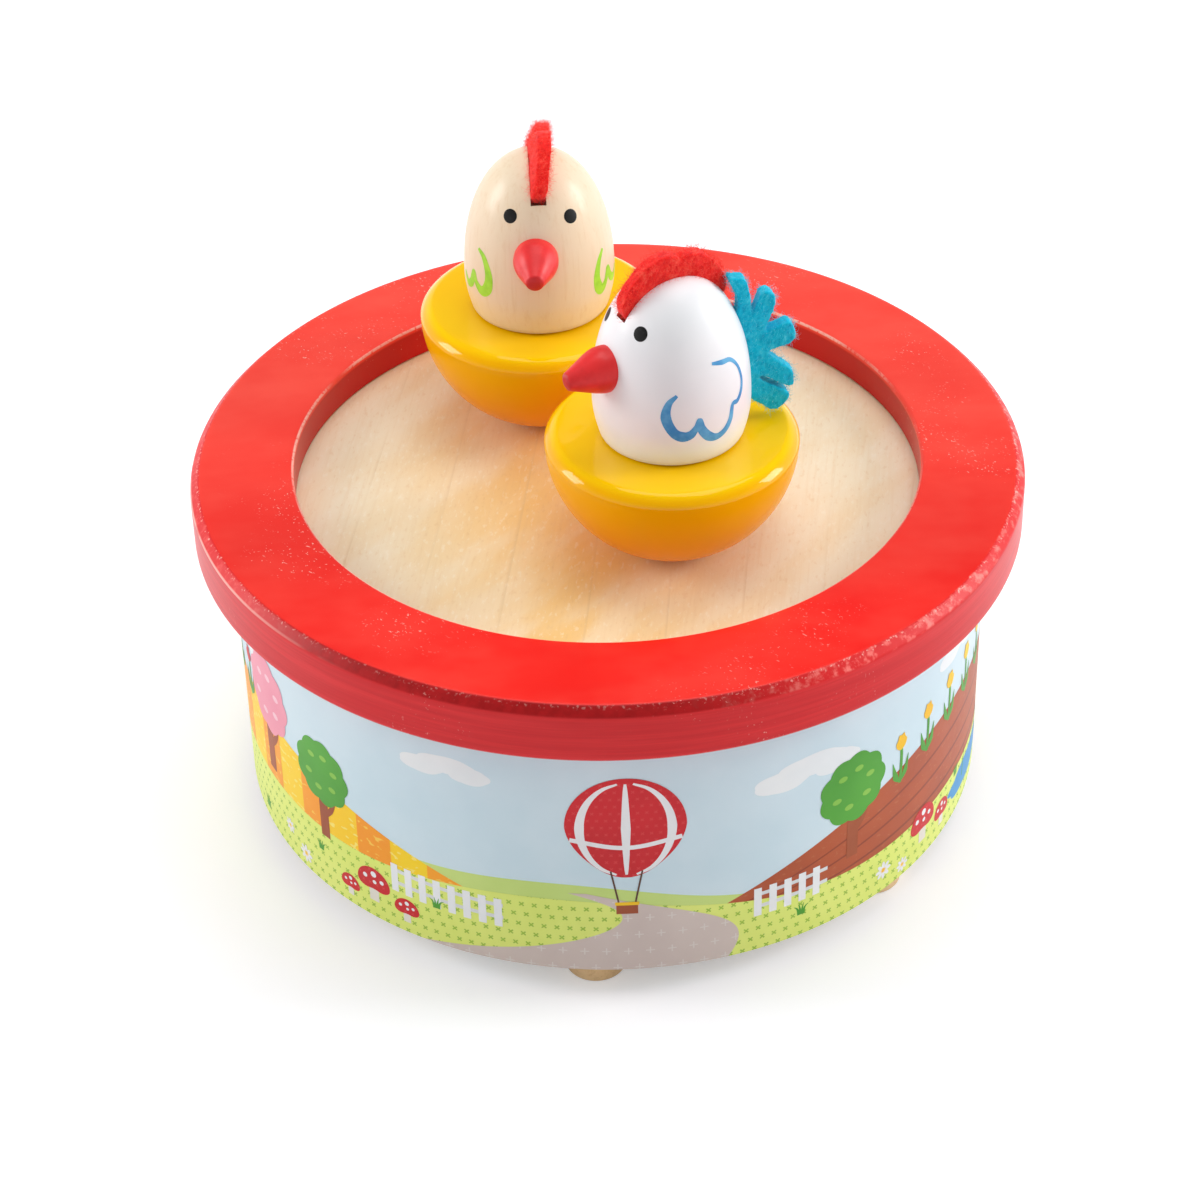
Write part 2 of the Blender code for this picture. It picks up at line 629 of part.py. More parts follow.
def make_posts_and_rail(bed):
    """Two bearing posts and the comb's rail, cast in one with the bedplate."""
    low = BED_BOTTOM + BED_THICKNESS / 2
    for name, start in (("near_post", POST_START), ("far_post", FAR_POST_START)):
        post = block(name, (start, -POST_WIDTH / 2, low),
                     (start + POST_THICKNESS, POST_WIDTH / 2, AXLE_HEIGHT + POST_RISE), None)
        fuse(bed, post)
    tip = CYLINDER_RADIUS + PIN_HEIGHT + COMB_TIP_CLEARANCE
    rail_back = -(tip + COMB_LONG_TOOTH)
    rail_top = AXLE_HEIGHT - COMB_THICKNESS / 2 - GAP
    rail = block("comb_rail", (CYLINDER_START + RAIL_END_MARGIN, rail_back - RAIL_WIDTH, low),
                 (CYLINDER_END - RAIL_END_MARGIN, rail_back, rail_top), None)
    fuse(bed, rail)
    bore = CYLINDER_ARBOR_RADIUS + BEARING_CLEARANCE
    cut(bed, bearing_hole("axle_hole", bore, POST_START, WHEEL_START - POST_START, 0, AXLE_HEIGHT))
    return rail_back


def make_comb(bed, rail_back):
    """A flat steel comb whose teeth shorten from the low notes to the high ones, held by two screws."""
    tip = -(CYLINDER_RADIUS + PIN_HEIGHT + COMB_TIP_CLEARANCE)
    left = CYLINDER_START
    front = rail_back - RAIL_WIDTH - COMB_END_MARGIN
    outline = [(CYLINDER_END, front)]
    gap = NOTE_PITCH * (1 - COMB_TOOTH_SHARE)
    for i in reversed(range(NOTE_COUNT)):
        root = tip - COMB_SHORT_TOOTH - (COMB_LONG_TOOTH - COMB_SHORT_TOOTH) * i / (NOTE_COUNT - 1)
        high = left + (i + 1) * NOTE_PITCH - gap / 2
        low = left + i * NOTE_PITCH + gap / 2
        outline += [(high, root), (high, tip), (low, tip), (low, root)]
    outline.append((left, front))
    screws = [(left + CYLINDER_LENGTH * (1 + 2 * i) / 4, rail_back - RAIL_WIDTH / 2) for i in range(2)]
    bore = COMB_SCREW_RADIUS + GAP
    comb = plate("steel_comb", [outline] + [circle(bore, SHAFT_SIDES, spot) for spot in screws],
                 COMB_THICKNESS, STEEL)
    comb.location = (0, 0, AXLE_HEIGHT)
    top = AXLE_HEIGHT + COMB_THICKNESS / 2 + GAP
    length = COMB_THICKNESS + GAP + COMB_SCREW_BITE
    for i, spot in enumerate(screws):
        profile = screw_profile(COMB_SCREW_RADIUS, COMB_SCREW_HEAD_RADIUS, COMB_SCREW_HEAD_HEIGHT, length)
        make_screw(f"comb_screw_{i + 1}", profile, (*spot, top), upside_down=True)
        hole = disc(f"comb_screw_hole_{i + 1}", bore, top - length - GAP, top + OVERRUN, None, place=spot)
        cut(bed, hole)


def make_barrel(axis):
    """The spring barrel, a cup with a flange whose upper face carries a crown of teeth."""
    outer, inner = BARREL_RADIUS, BARREL_RADIUS - BARREL_WALL
    bore = ARBOR_RADIUS + GAP
    floor = BARREL_BOTTOM + BARREL_WALL
    under = FLANGE_TOP - CROWN_FLANGE
    profile = [(inner, BARREL_TOP), (outer, BARREL_TOP), (outer, FLANGE_TOP),
               (CROWN_OUTER_RADIUS, FLANGE_TOP), (CROWN_OUTER_RADIUS, under), (outer, under),
               (outer, BARREL_BOTTOM), (bore, BARREL_BOTTOM), (bore, floor), (inner, floor)]
    barrel = turned("spring_barrel", profile, BRASS, DISC_SIDES, parent=axis, closed=True)
    crown = bpy.data.meshes.new("crown_teeth")
    shape = bmesh.new()
    for i in range(CROWN_TEETH):
        turn = 2 * math.pi * (i + 1 / 2) / CROWN_TEETH
        tooth = bmesh.ops.create_cube(shape, size=1)["verts"]
        bmesh.ops.scale(shape, verts=tooth,
                        vec=(CROWN_FACE - GAP, CROWN_TOOTH_WIDTH, CROWN_TOOTH_HEIGHT + CROWN_FLANGE / 2))
        bmesh.ops.translate(shape, verts=tooth,
                            vec=(CROWN_RADIUS, 0, FLANGE_TOP + (CROWN_TOOTH_HEIGHT - CROWN_FLANGE / 2) / 2))
        bmesh.ops.rotate(shape, verts=tooth, matrix=Matrix.Rotation(turn, 3, "Z"))
    shape.to_mesh(crown)
    shape.free()
    fuse(barrel, add_object("crown_cutter", crown, None, parent=axis))
    shaft_hole = DRIVE_SHAFT_RADIUS + GAP
    boss_top = LID_TOP + LID_BOSS_HEIGHT
    turned("barrel_lid", [(shaft_hole, boss_top), (LID_BOSS_RADIUS, boss_top), (LID_BOSS_RADIUS, LID_TOP),
                          (outer, LID_TOP), (outer, LID_BOTTOM), (shaft_hole, LID_BOTTOM)],
           BRASS, DISC_SIDES, parent=axis, closed=True)
    make_mainspring(axis, inner, floor)


def make_mainspring(axis, inner, floor):
    """A strip wound as an even spiral between the arbor and the barrel's wall."""
    reach = inner - SPRING_MARGIN - SPRING_CORE_RADIUS
    count = SPRING_TURNS * SPRING_POINTS_PER_TURN
    middle = [(SPRING_CORE_RADIUS + reach * i / count, 2 * math.pi * SPRING_TURNS * i / count)
              for i in range(count + 1)]
    half = SPRING_THICKNESS / 2
    outline = [((r + half) * math.cos(t), (r + half) * math.sin(t)) for r, t in middle]
    outline += [((r - half) * math.cos(t), (r - half) * math.sin(t)) for r, t in reversed(middle)]
    height = BARREL_TOP - floor - 2 * SPRING_MARGIN
    spring = plate("mainspring", [outline], height, STEEL, axis)
    spring.location = (0, 0, floor + SPRING_MARGIN + height / 2)


def make_key(axis):
    """The winding arbor and a wing key, which hangs in the well under the drum."""
    low = KEY_CLEARANCE
    hub_low = low + KEY_HEIGHT * KEY_WAIST_SHARE
    hub_high = hub_low + KEY_HUB_HEIGHT
    arbor_low = hub_low + KEY_HUB_HEIGHT / 2
    disc("winding_arbor", ARBOR_RADIUS, arbor_low, BARREL_TOP - SPRING_MARGIN, STEEL, parent=axis)
    wing = KEY_HEIGHT / 2
    reach = KEY_WIDTH / 2 - wing
    waist = KEY_HUB_RADIUS / 2
    outline = (arc((reach, wing), wing, -math.pi / 2, math.pi / 2, KEY_STEPS)
               + [(waist, KEY_HEIGHT * KEY_WAIST_SHARE), (-waist, KEY_HEIGHT * KEY_WAIST_SHARE)]
               + arc((-reach, wing), wing, math.pi / 2, 3 * math.pi / 2, KEY_STEPS)
               + [(0, wing / 2)])
    key = plate("wing_key", [outline], KEY_THICKNESS, STEEL, axis)
    key.rotation_euler = (math.pi / 2, 0, KEY_TURN)
    key.location = (0, 0, low)
    hub = disc("key_hub", KEY_HUB_RADIUS, hub_low - wing / 2, hub_high, None, DISC_SIDES, parent=axis)
    fuse(key, hub)
    socket = disc("key_socket", ARBOR_RADIUS + SNUG_GAP, arbor_low - SNUG_GAP, hub_high + OVERRUN, None,
                  parent=axis)
    cut(key, socket)


def make_cylinder(axis):
    """The pinned cylinder on its arbor, with the pinion that the crown drives and the wheel that drives the
    governor. The axis empty sits at the cylinder's near end, on its axis."""
    arbor = CYLINDER_ARBOR_RADIUS
    start = CROWN_RADIUS - PINION_LENGTH / 2
    disc("cylinder_arbor", arbor, start - GAP, WHEEL_START + GEAR_THICKNESS, STEEL, parent=axis, axis="X")
    pinion = toothed_outline(PINION_TEETH, PINION_RADIUS, PINION_TIP, PINION_ROOT, GEAR_ROOT_WIDTH,
                             GEAR_TIP_WIDTH, -math.pi / 2)
    gear("cylinder_pinion", pinion, arbor + SNUG_GAP, start, PINION_LENGTH, 0, 0, BRASS, axis)
    wheel = toothed_outline(CYLINDER_WHEEL_TEETH, CYLINDER_WHEEL_RADIUS, GEAR_TIP, GEAR_ROOT, GEAR_ROOT_WIDTH,
                            GEAR_TIP_WIDTH)
    gear("cylinder_wheel", wheel, arbor + SNUG_GAP, WHEEL_START, GEAR_THICKNESS, 0, 0, BRASS, axis)
    bore = CYLINDER_RADIUS - CYLINDER_WALL
    hub = arbor + SNUG_GAP
    profile = [(hub, CYLINDER_LENGTH), (CYLINDER_RADIUS, CYLINDER_LENGTH), (CYLINDER_RADIUS, 0), (bore, 0),
               (bore, CYLINDER_LENGTH - CYLINDER_WALL), (hub, CYLINDER_LENGTH - CYLINDER_WALL)]
    cylinder = turned("pinned_cylinder", profile, BRASS, DISC_SIDES, (CYLINDER_START, 0, 0), axis, True)
    cylinder.rotation_euler = (0, math.pi / 2, 0)
    pins = bpy.data.meshes.new("cylinder_pins")
    shape = bmesh.new()
    for i in range(NOTE_COUNT * PINS_PER_NOTE):
        along = (i // PINS_PER_NOTE + 1 / 2) * NOTE_PITCH
        pin = bmesh.ops.create_cone(shape, cap_ends=True, segments=3, radius1=PIN_RADIUS,
                                    radius2=PIN_RADIUS / 2, depth=PIN_HEIGHT + CYLINDER_WALL / 2)["verts"]
        middle = CYLINDER_RADIUS + (PIN_HEIGHT - CYLINDER_WALL / 2) / 2
        bmesh.ops.translate(shape, verts=pin, vec=(0, 0, middle))
        bmesh.ops.rotate(shape, verts=pin, matrix=Matrix.Rotation(PIN_TURN * i, 3, "X"))
        bmesh.ops.translate(shape, verts=pin, vec=(CYLINDER_START + along, 0, 0))
    shape.to_mesh(pins)
    shape.free()
    fuse(cylinder, add_object("pins_cutter", pins, None, parent=axis))


def make_governor(axis):
    """The governor's arbor, with a pinion on the cylinder's wheel and a worm wheel beyond the bracket."""
    arbor = GOVERNOR_ARBOR_RADIUS
    end = WORM_WHEEL_START + GEAR_THICKNESS + GAP
    disc("governor_arbor", arbor, WHEEL_START, end, STEEL, parent=axis, axis="X")
    half_step = math.pi / GOVERNOR_PINION_TEETH
    pinion = toothed_outline(GOVERNOR_PINION_TEETH, GOVERNOR_PINION_RADIUS, GEAR_TIP, GEAR_ROOT,
                             GEAR_ROOT_WIDTH, GEAR_TIP_WIDTH, math.pi + half_step)
    gear("governor_pinion", pinion, arbor + SNUG_GAP, WHEEL_START, GEAR_THICKNESS, 0, 0, BRASS, axis)
    wheel = toothed_outline(WORM_WHEEL_TEETH, WORM_WHEEL_RADIUS, GEAR_TIP, GEAR_ROOT, GEAR_ROOT_WIDTH,
                            GEAR_TIP_WIDTH)
    gear("worm_wheel", wheel, arbor + SNUG_GAP, WORM_WHEEL_START, GEAR_THICKNESS, 0, 0, NYLON, axis)


def make_bracket():
    """A standing plate that holds the governor's arbor, with two arms for the worm's shaft."""
    low = BED_TOP + GAP
    far = WORM_Y + BRACKET_MARGIN
    bracket = block("governor_bracket", (BRACKET_START, GOVERNOR_Y - BRACKET_MARGIN, low),
                    (BRACKET_START + BRACKET_THICKNESS, far, ARM_TOP), STEEL)
    reach = WORM_X + BRACKET_ARM_WIDTH / 2
    for name, bottom in (("upper_arm", ARM_TOP - BRACKET_THICKNESS), ("lower_arm", low)):
        arm = block(name, (BRACKET_START + BRACKET_THICKNESS / 2, WORM_Y - BRACKET_ARM_WIDTH / 2, bottom),
                    (reach, far, bottom + BRACKET_THICKNESS), None)
        fuse(bracket, arm)
    bore = GOVERNOR_ARBOR_RADIUS + BEARING_CLEARANCE
    hole = bearing_hole("governor_hole", bore, BRACKET_START, BRACKET_THICKNESS, GOVERNOR_Y, AXLE_HEIGHT)
    cut(bracket, hole)
    pivot = disc("worm_pivot_hole", bore, low - OVERRUN, ARM_TOP + OVERRUN, None, place=(WORM_X, WORM_Y))
    cut(bracket, pivot)


def make_worm(axis):
    """The worm's shaft, a right-handed thread on a core between two pivots, and the fly that brakes it."""
    low, high = BED_TOP + GAP, FLY_TOP
    core_low = AXLE_HEIGHT - WORM_REACH
    core_high = AXLE_HEIGHT + WORM_REACH
    pivot = GOVERNOR_ARBOR_RADIUS
    worm = turned("worm", [(0, high), (pivot, high), (pivot, core_high), (WORM_CORE_RADIUS, core_high),
                           (WORM_CORE_RADIUS, core_low), (pivot, core_low), (pivot, low), (0, low)],
                  STEEL, SHAFT_SIDES, parent=axis)
    thread = bpy.data.curves.new("worm_thread", "CURVE")
    thread.dimensions = "3D"
    thread.bevel_depth = WORM_THREAD_RADIUS
    thread.bevel_resolution = 0
    thread.use_fill_caps = True
    spline = thread.splines.new("POLY")
    count = WORM_TURNS * WORM_POINTS_PER_TURN
    spline.points.add(count)
    # The thread's gap faces the worm wheel at the height of its axis.
    start = -math.pi / 2 - math.pi * WORM_TURNS
    for i, point in enumerate(spline.points):
        turn = start + 2 * math.pi * i / WORM_POINTS_PER_TURN
        height = AXLE_HEIGHT + WORM_PITCH * (i / WORM_POINTS_PER_TURN - WORM_TURNS / 2 + 1 / 2)
        radius = WORM_CORE_RADIUS + WORM_THREAD_RADIUS / 2
        point.co = (radius * math.cos(turn), radius * math.sin(turn), height, 1)
    source = bpy.data.objects.new("worm_thread_path", thread)
    CUTTERS.objects.link(source)
    bpy.context.view_layer.update()
    mesh = bpy.data.meshes.new_from_object(source.evaluated_get(bpy.context.evaluated_depsgraph_get()))
    weld(mesh)
    bpy.data.objects.remove(source, do_unlink=True)
    fuse(worm, add_object("worm_thread", mesh, None, parent=axis))
    bore = pivot + SNUG_GAP
    hub = turned("fly", tube_profile(bore, FLY_HUB_RADIUS, FLY_BOTTOM, FLY_TOP), NYLON, SHAFT_SIDES,
                 parent=axis, closed=True)
    for name, side in (("fly_wing_right", 1), ("fly_wing_left", -1)):
        ends = sorted((side * (bore + FLY_HUB_RADIUS) / 2, side * FLY_WIDTH / 2))
        wing = block(name, (ends[0], -FLY_THICKNESS / 2, FLY_BOTTOM), (ends[1], FLY_THICKNESS / 2, FLY_TOP),
                     None, axis)
        fuse(hub, wing)


def make_turntable(axis):
    """The magnet disc close under the stage, with its hub and the shaft that the barrel's lid turns."""
    disc("drive_shaft", DRIVE_SHAFT_RADIUS, LID_BOTTOM + GAP, TURNTABLE_TOP, STEEL, parent=axis)
    bore = DRIVE_SHAFT_RADIUS + GAP
    table = turned("turntable", tube_profile(bore, TURNTABLE_RADIUS, TURNTABLE_BOTTOM, TURNTABLE_TOP),
                   RAW_WOOD, BOWL_SIDES, parent=axis, closed=True)
    hub = turned("turntable_hub", tube_profile(bore, HUB_RADIUS, HUB_BOTTOM, HUB_BOTTOM + HUB_HEIGHT), BRASS,
                 DISC_SIDES, parent=axis, closed=True)
    middle = HUB_BOTTOM + HUB_HEIGHT / 2
    cut(hub, disc("hub_screw_hole", HUB_SCREW_RADIUS + GAP, bore - GAP, HUB_RADIUS + OVERRUN, None,
                  place=(0, middle), parent=axis, axis="X"))
    disc("hub_screw", HUB_SCREW_RADIUS, bore, HUB_RADIUS + HUB_SCREW_PROUD, STEEL, place=(0, middle),
         parent=axis, axis="X")
    low = DRIVE_MAGNET_BOTTOM
    for i, dancer in enumerate(DANCERS.values()):
        spot = polar(dancer["radius"], dancer["bearing"])
        cut(table, disc(f"pocket_{i + 1}", DRIVE_MAGNET_RADIUS + GAP, low - GAP, TURNTABLE_TOP + OVERRUN,
                        None, DISC_SIDES, spot, axis))
        disc(f"drive_magnet_{i + 1}", DRIVE_MAGNET_RADIUS, low, low + DRIVE_MAGNET_THICKNESS, MAGNET,
             DISC_SIDES, spot, axis)


def make_movement():
    bed = make_board_and_bedplate()
    rail_back = make_posts_and_rail(bed)
    make_comb(bed, rail_back)
    turntable_axis = add_axis("turntable_axis", (0, 0, 0))
    make_barrel(turntable_axis)
    make_turntable(turntable_axis)
    make_key(add_axis("key_axis", (0, 0, 0)))
    make_cylinder(add_axis("cylinder_axis", (0, 0, AXLE_HEIGHT)))
    make_governor(add_axis("governor_axis", (0, GOVERNOR_Y, AXLE_HEIGHT)))
    make_bracket()
    make_worm(add_axis("worm_axis", (WORM_X, WORM_Y, 0)))


def egg_radius_at(turn):
    """The egg's reach from the middle of its waist, as a superellipse, at an angle above forwards."""
    along = abs(math.cos(turn)) / EGG_RADIUS
    up = abs(math.sin(turn)) / EGG_CROWN_HEIGHT
    return (along**EGG_FULLNESS + up**EGG_FULLNESS) ** (-1 / EGG_FULLNESS)


def egg_side_at(height):
    """The egg's radius at a height above its base: a superellipse, and a quarter sine below the waist."""
    if height < EGG_WAIST_HEIGHT:
        share = max(height, 0) / EGG_WAIST_HEIGHT
        return EGG_BASE_RADIUS + (EGG_RADIUS - EGG_BASE_RADIUS) * math.sin(share * math.pi / 2)
    up = min((height - EGG_WAIST_HEIGHT) / EGG_CROWN_HEIGHT, 1)
    return EGG_RADIUS * (1 - up**EGG_FULLNESS) ** (1 / EGG_FULLNESS)


def crest_point(turn, rise):
    reach = egg_radius_at(turn) + rise
    return (reach * math.cos(turn), EGG_WAIST_HEIGHT + reach * math.sin(turn))


def felt_plate(name, outline, thickness, finish, axis, turn=0.0):
    """A flat felt shape standing upright in the plane of the beak, turned about the egg's axis."""
    made = plate(name, [outline], thickness, finish, axis)
    made.rotation_euler = (math.pi / 2, 0, turn)
    made.location = (0, 0, EGG_BASE)
    return made


def comb_felt_outline(spare=0.0):
    """The crest with its two humps. With some spare it is the slot: deeper, longer and open outwards."""
    ends = spare / EGG_CROWN_HEIGHT
    start = COMB_FELT_START - ends
    span = COMB_FELT_END + ends - start
    roots = [start + span * share for share in COMB_FELT_ROOT_SHARES]
    lower = [crest_point(turn, -FELT_DEPTH - spare) for turn in roots]
    if spare:
        return [crest_point(turn, COMB_FELT_RISE) for turn in reversed(roots)] + lower
    return [crest_point(start + span * along, COMB_FELT_RISE * up) for along, up in COMB_FELT_SHARES] + lower


def tail_outline(tail_height, spare=0.0):
    """Five fingers fanned out behind the egg, and the root inside it. With some spare it is the slot."""

    def point(stand_off, height):
        return (-(egg_side_at(height) + stand_off), height)

    roots = [point(-FELT_DEPTH - spare, share * tail_height) for share in TAIL_ROOT_SHARES]
    if not spare:
        edge = [point(out * TAIL_REACH, up * tail_height) for out, up in TAIL_EDGE_SHARES]
        return edge + [point(GAP, TAIL_ROOT_SHARES[0] * tail_height)] + roots
    high = roots[0][1] + spare
    low = roots[-1][1] - spare
    outside = -(EGG_RADIUS + TAIL_REACH)
    return [(roots[0][0], high)] + roots + [(roots[-1][0], low), (outside, low), (outside, high)]


def make_egg(name, finish, axis, dancer):
    hole = DOWEL_RADIUS + GAP
    upper = []
    for i in range(EGG_STEPS + 1):
        turn = math.pi / 2 * (1 - i / EGG_STEPS)
        reach = egg_radius_at(turn)
        upper.append((reach * math.cos(turn) if i else 0, EGG_WAIST_HEIGHT + reach * math.sin(turn)))
    lower = [(egg_side_at(share * EGG_WAIST_HEIGHT), share * EGG_WAIST_HEIGHT) for share in EGG_FOOT_SHARES]
    lower.append((EGG_BASE_RADIUS, EGG_BASE_ROUNDING))
    lower.append((EGG_BASE_RADIUS - EGG_BASE_ROUNDING, 0))
    bore = [(hole, 0), (hole, DOWEL_DEPTH), (0, DOWEL_DEPTH)]
    egg = turned(f"{name}_egg", upper + lower + bore, finish, EGG_SIDES, (0, 0, EGG_BASE), axis)
    thickness = FELT_THICKNESS + 2 * SNUG_GAP
    cut(egg, felt_plate(f"{name}_comb_slot", comb_felt_outline(SNUG_GAP), thickness, None, axis))
    cut(egg, felt_plate(f"{name}_tail_slot", tail_outline(dancer["tail_height"], SNUG_GAP), thickness, None,
                        axis, dancer["tail_turn"]))
    seat = egg_side_at(BEAK_HEIGHT) - BEAK_SEAT
    cut(egg, disc(f"{name}_beak_socket", BEAK_RADIUS + SNUG_GAP, seat - SNUG_GAP, BEAK_REACH, None,
                  DISC_SIDES, (0, EGG_BASE + BEAK_HEIGHT), axis, "X"))


def make_beak(name, axis):
    seat = egg_side_at(BEAK_HEIGHT) - BEAK_SEAT
    length = BEAK_REACH - seat
    side = [(BEAK_RADIUS * wide, length * along) for along, wide in reversed(BEAK_PROFILE_SHARES)]
    beak = turned(f"{name}_beak", [(0, length)] + side + [(0, 0)], BEAK_RED, DISC_SIDES,
                  (seat, 0, EGG_BASE + BEAK_HEIGHT), axis)
    beak.rotation_euler = (0, math.pi / 2, 0)


def make_bowl(name, axis):
    """A half ball with a rounded rim, a flat foot with a magnet pocket and a dowel hole in its face."""
    pocket = BOWL_MAGNET_RADIUS + GAP
    pocket_top = GAP + BOWL_MAGNET_INSET + BOWL_MAGNET_THICKNESS + GAP
    hole = DOWEL_RADIUS + GAP
    floor = BOWL_FACE - DOWEL_DEPTH
    # The rim's rounding touches the flat face and the ball from inside.
    drop = BOWL_FACE_RISE - BOWL_FACE_ROUNDING
    rim = math.sqrt((BOWL_RADIUS - BOWL_FACE_ROUNDING) ** 2 - drop**2)
    lowest = math.atan2(drop, rim)
    foot = math.atan2(GAP - BOWL_CENTRE, BOWL_FLAT_RADIUS)
    profile = [(0, floor), (hole, floor), (hole, BOWL_FACE)]
    profile += arc((rim, BOWL_CENTRE + drop), BOWL_FACE_ROUNDING, math.pi / 2, lowest)
    profile += arc((0, BOWL_CENTRE), BOWL_RADIUS, lowest, foot, BOWL_STEPS)[1:]
    profile += [(pocket, GAP), (pocket, pocket_top), (0, pocket_top)]
    turned(f"{name}_bowl", profile, YELLOW_PAINT, BOWL_SIDES, parent=axis)


def make_dancer(name, dancer, egg_finish, tail_finish):
    spot = (*polar(dancer["radius"], dancer["bearing"]), STAGE_TOP)
    axis = add_axis(f"{name}_axis", spot, dancer["heading"])
    make_bowl(name, axis)
    low = GAP + BOWL_MAGNET_INSET
    high = low + BOWL_MAGNET_THICKNESS
    disc(f"{name}_magnet", BOWL_MAGNET_RADIUS, low, high, MAGNET, DISC_SIDES, parent=axis)
    disc(f"{name}_dowel", DOWEL_RADIUS, BOWL_FACE - DOWEL_DEPTH + GAP, EGG_BASE + DOWEL_DEPTH - GAP, RAW_WOOD,
         parent=axis)
    make_egg(name, egg_finish, axis, dancer)
    make_beak(name, axis)
    felt_plate(f"{name}_comb_felt", comb_felt_outline(), FELT_THICKNESS, RED_FELT, axis)
    felt_plate(f"{name}_tail_felt", tail_outline(dancer["tail_height"]), FELT_THICKNESS, tail_finish, axis,
               dancer["tail_turn"])


make_ring()
make_case()
make_movement()
make_dancer("hen", DANCERS["hen"], CLEAR_WOOD, GREEN_FELT)
make_dancer("rooster", DANCERS["rooster"], WHITE_PAINT, TURQUOISE_FELT)
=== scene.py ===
# %% [markdown]
# # A wooden wind-up music box
# The toy is a papered wooden drum under a red lacquered ring. On the sunk stage two painted chickens stand on half
# balls, and magnets under the stage carry them round while the movement plays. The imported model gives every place
# and size here, so this notebook only makes the surfaces fine and gives them their finish.

import json
import math

import bmesh
import bpy
import numpy as np
from mathutils import Matrix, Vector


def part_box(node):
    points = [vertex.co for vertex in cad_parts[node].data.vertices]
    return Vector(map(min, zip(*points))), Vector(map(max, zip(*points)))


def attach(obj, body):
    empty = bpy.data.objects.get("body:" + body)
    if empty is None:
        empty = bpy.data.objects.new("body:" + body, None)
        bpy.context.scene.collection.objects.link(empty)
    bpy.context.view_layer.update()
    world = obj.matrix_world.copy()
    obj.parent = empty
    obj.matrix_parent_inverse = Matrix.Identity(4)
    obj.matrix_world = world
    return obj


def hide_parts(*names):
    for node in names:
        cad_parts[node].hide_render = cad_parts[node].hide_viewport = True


MM = 0.001
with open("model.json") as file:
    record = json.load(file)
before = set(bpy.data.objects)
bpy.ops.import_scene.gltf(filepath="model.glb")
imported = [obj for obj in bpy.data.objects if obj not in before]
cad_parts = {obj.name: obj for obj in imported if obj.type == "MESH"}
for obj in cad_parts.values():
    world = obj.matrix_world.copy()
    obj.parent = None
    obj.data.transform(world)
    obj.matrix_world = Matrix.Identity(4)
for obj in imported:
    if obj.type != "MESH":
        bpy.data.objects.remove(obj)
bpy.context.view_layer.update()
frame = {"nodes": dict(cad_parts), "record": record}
nodes = frame["nodes"]

# %% [markdown]
# ## Camera
# The photograph looks down at about 37 degrees through a long lens. The camera could be aimed with a constraint, but
# a matrix built from yaw, pitch and roll keeps the small tilt of the real shot.

# %% Camera
CAMERA_PLACE = (0.0, -0.529207, 0.432603)
CAMERA_YAW = math.radians(-0.222)
CAMERA_PITCH = math.radians(36.699)
CAMERA_ROLL = math.radians(-1.377)
CAMERA_LENS = 96.57
CAMERA_SENSOR = 36.0


def camera_matrix(place, yaw, pitch, roll):
    """Columns are the picture's right and up directions and the direction backwards, turned by the roll."""
    forward = np.array([math.sin(yaw) * math.cos(pitch), math.cos(yaw) * math.cos(pitch), -math.sin(pitch)])
    level = np.array([math.cos(yaw), -math.sin(yaw), 0.0])
    upright = np.cross(level, forward)
    right = math.cos(roll) * level + math.sin(roll) * upright
    up = math.cos(roll) * upright - math.sin(roll) * level
    matrix = np.eye(4)
    matrix[:3, 0], matrix[:3, 1], matrix[:3, 2], matrix[:3, 3] = right, up, -forward, place
    return Matrix(matrix.tolist())


lens = bpy.data.cameras.new("camera")
lens.lens = CAMERA_LENS
lens.sensor_width = CAMERA_SENSOR
lens.clip_start = 10 * MM
camera = bpy.data.objects.new("camera", lens)
camera.matrix_world = camera_matrix(CAMERA_PLACE, CAMERA_YAW, CAMERA_PITCH, CAMERA_ROLL)
bpy.context.scene.collection.objects.link(camera)
bpy.context.scene.camera = camera
print("camera at", CAMERA_PLACE, "with a lens of", CAMERA_LENS, "mm")

# %% [markdown]
# ## Shader arithmetic
# A finish is easier to read as a formula than as a web of nodes. One small class wraps a socket, and an operator on
# it adds a Math node, so `1 - mask` works as it would on numbers. Every other node comes from one method.

# %% Sockets that can be added and multiplied


class Value:
    """A shader socket that takes part in arithmetic on numbers."""

    def __init__(self, finish, socket):
        self.finish = finish
        self.socket = socket

    def math(self, operation, *others):
        inputs = dict(enumerate((self, *others)))
        return self.finish.node("ShaderNodeMath", {"operation": operation}, inputs)

    def __add__(self, other):
        return self.math("ADD", other)

    def __sub__(self, other):
        return self.math("SUBTRACT", other)

    def __mul__(self, other):
        return self.math("MULTIPLY", other)

    def __truediv__(self, other):
        return self.math("DIVIDE", other)

    def __pow__(self, other):
        return self.math("POWER", other)

    def __radd__(self, other):
        return self + other

    def __rmul__(self, other):
        return self * other

    def __rsub__(self, other):
        return self.finish.node("ShaderNodeMath", {"operation": "SUBTRACT"}, {0: other, 1: self})

    def __rtruediv__(self, other):
        return self.finish.node("ShaderNodeMath", {"operation": "DIVIDE"}, {0: other, 1: self})

    def __neg__(self):
        return 0 - self

    def fade(self, low, high):
        """0 below the low value, 1 above the high one, and a smooth step between them."""
        return self.finish.node("ShaderNodeMapRange", {"interpolation_type": "SMOOTHSTEP"},
                                {0: self, 1: low, 2: high})


# %% A finish with one method that adds nodes


def srgb(red, green, blue):
    """A colour as it is seen on a screen, from 0 to 255, in the linear light that shaders use."""
    shares = np.array([red, green, blue]) / 255
    linear = np.where(shares <= 0.04045, shares / 12.92, ((shares + 0.055) / 1.055) ** 2.4)
    return (*(float(v) for v in linear), 1.0)


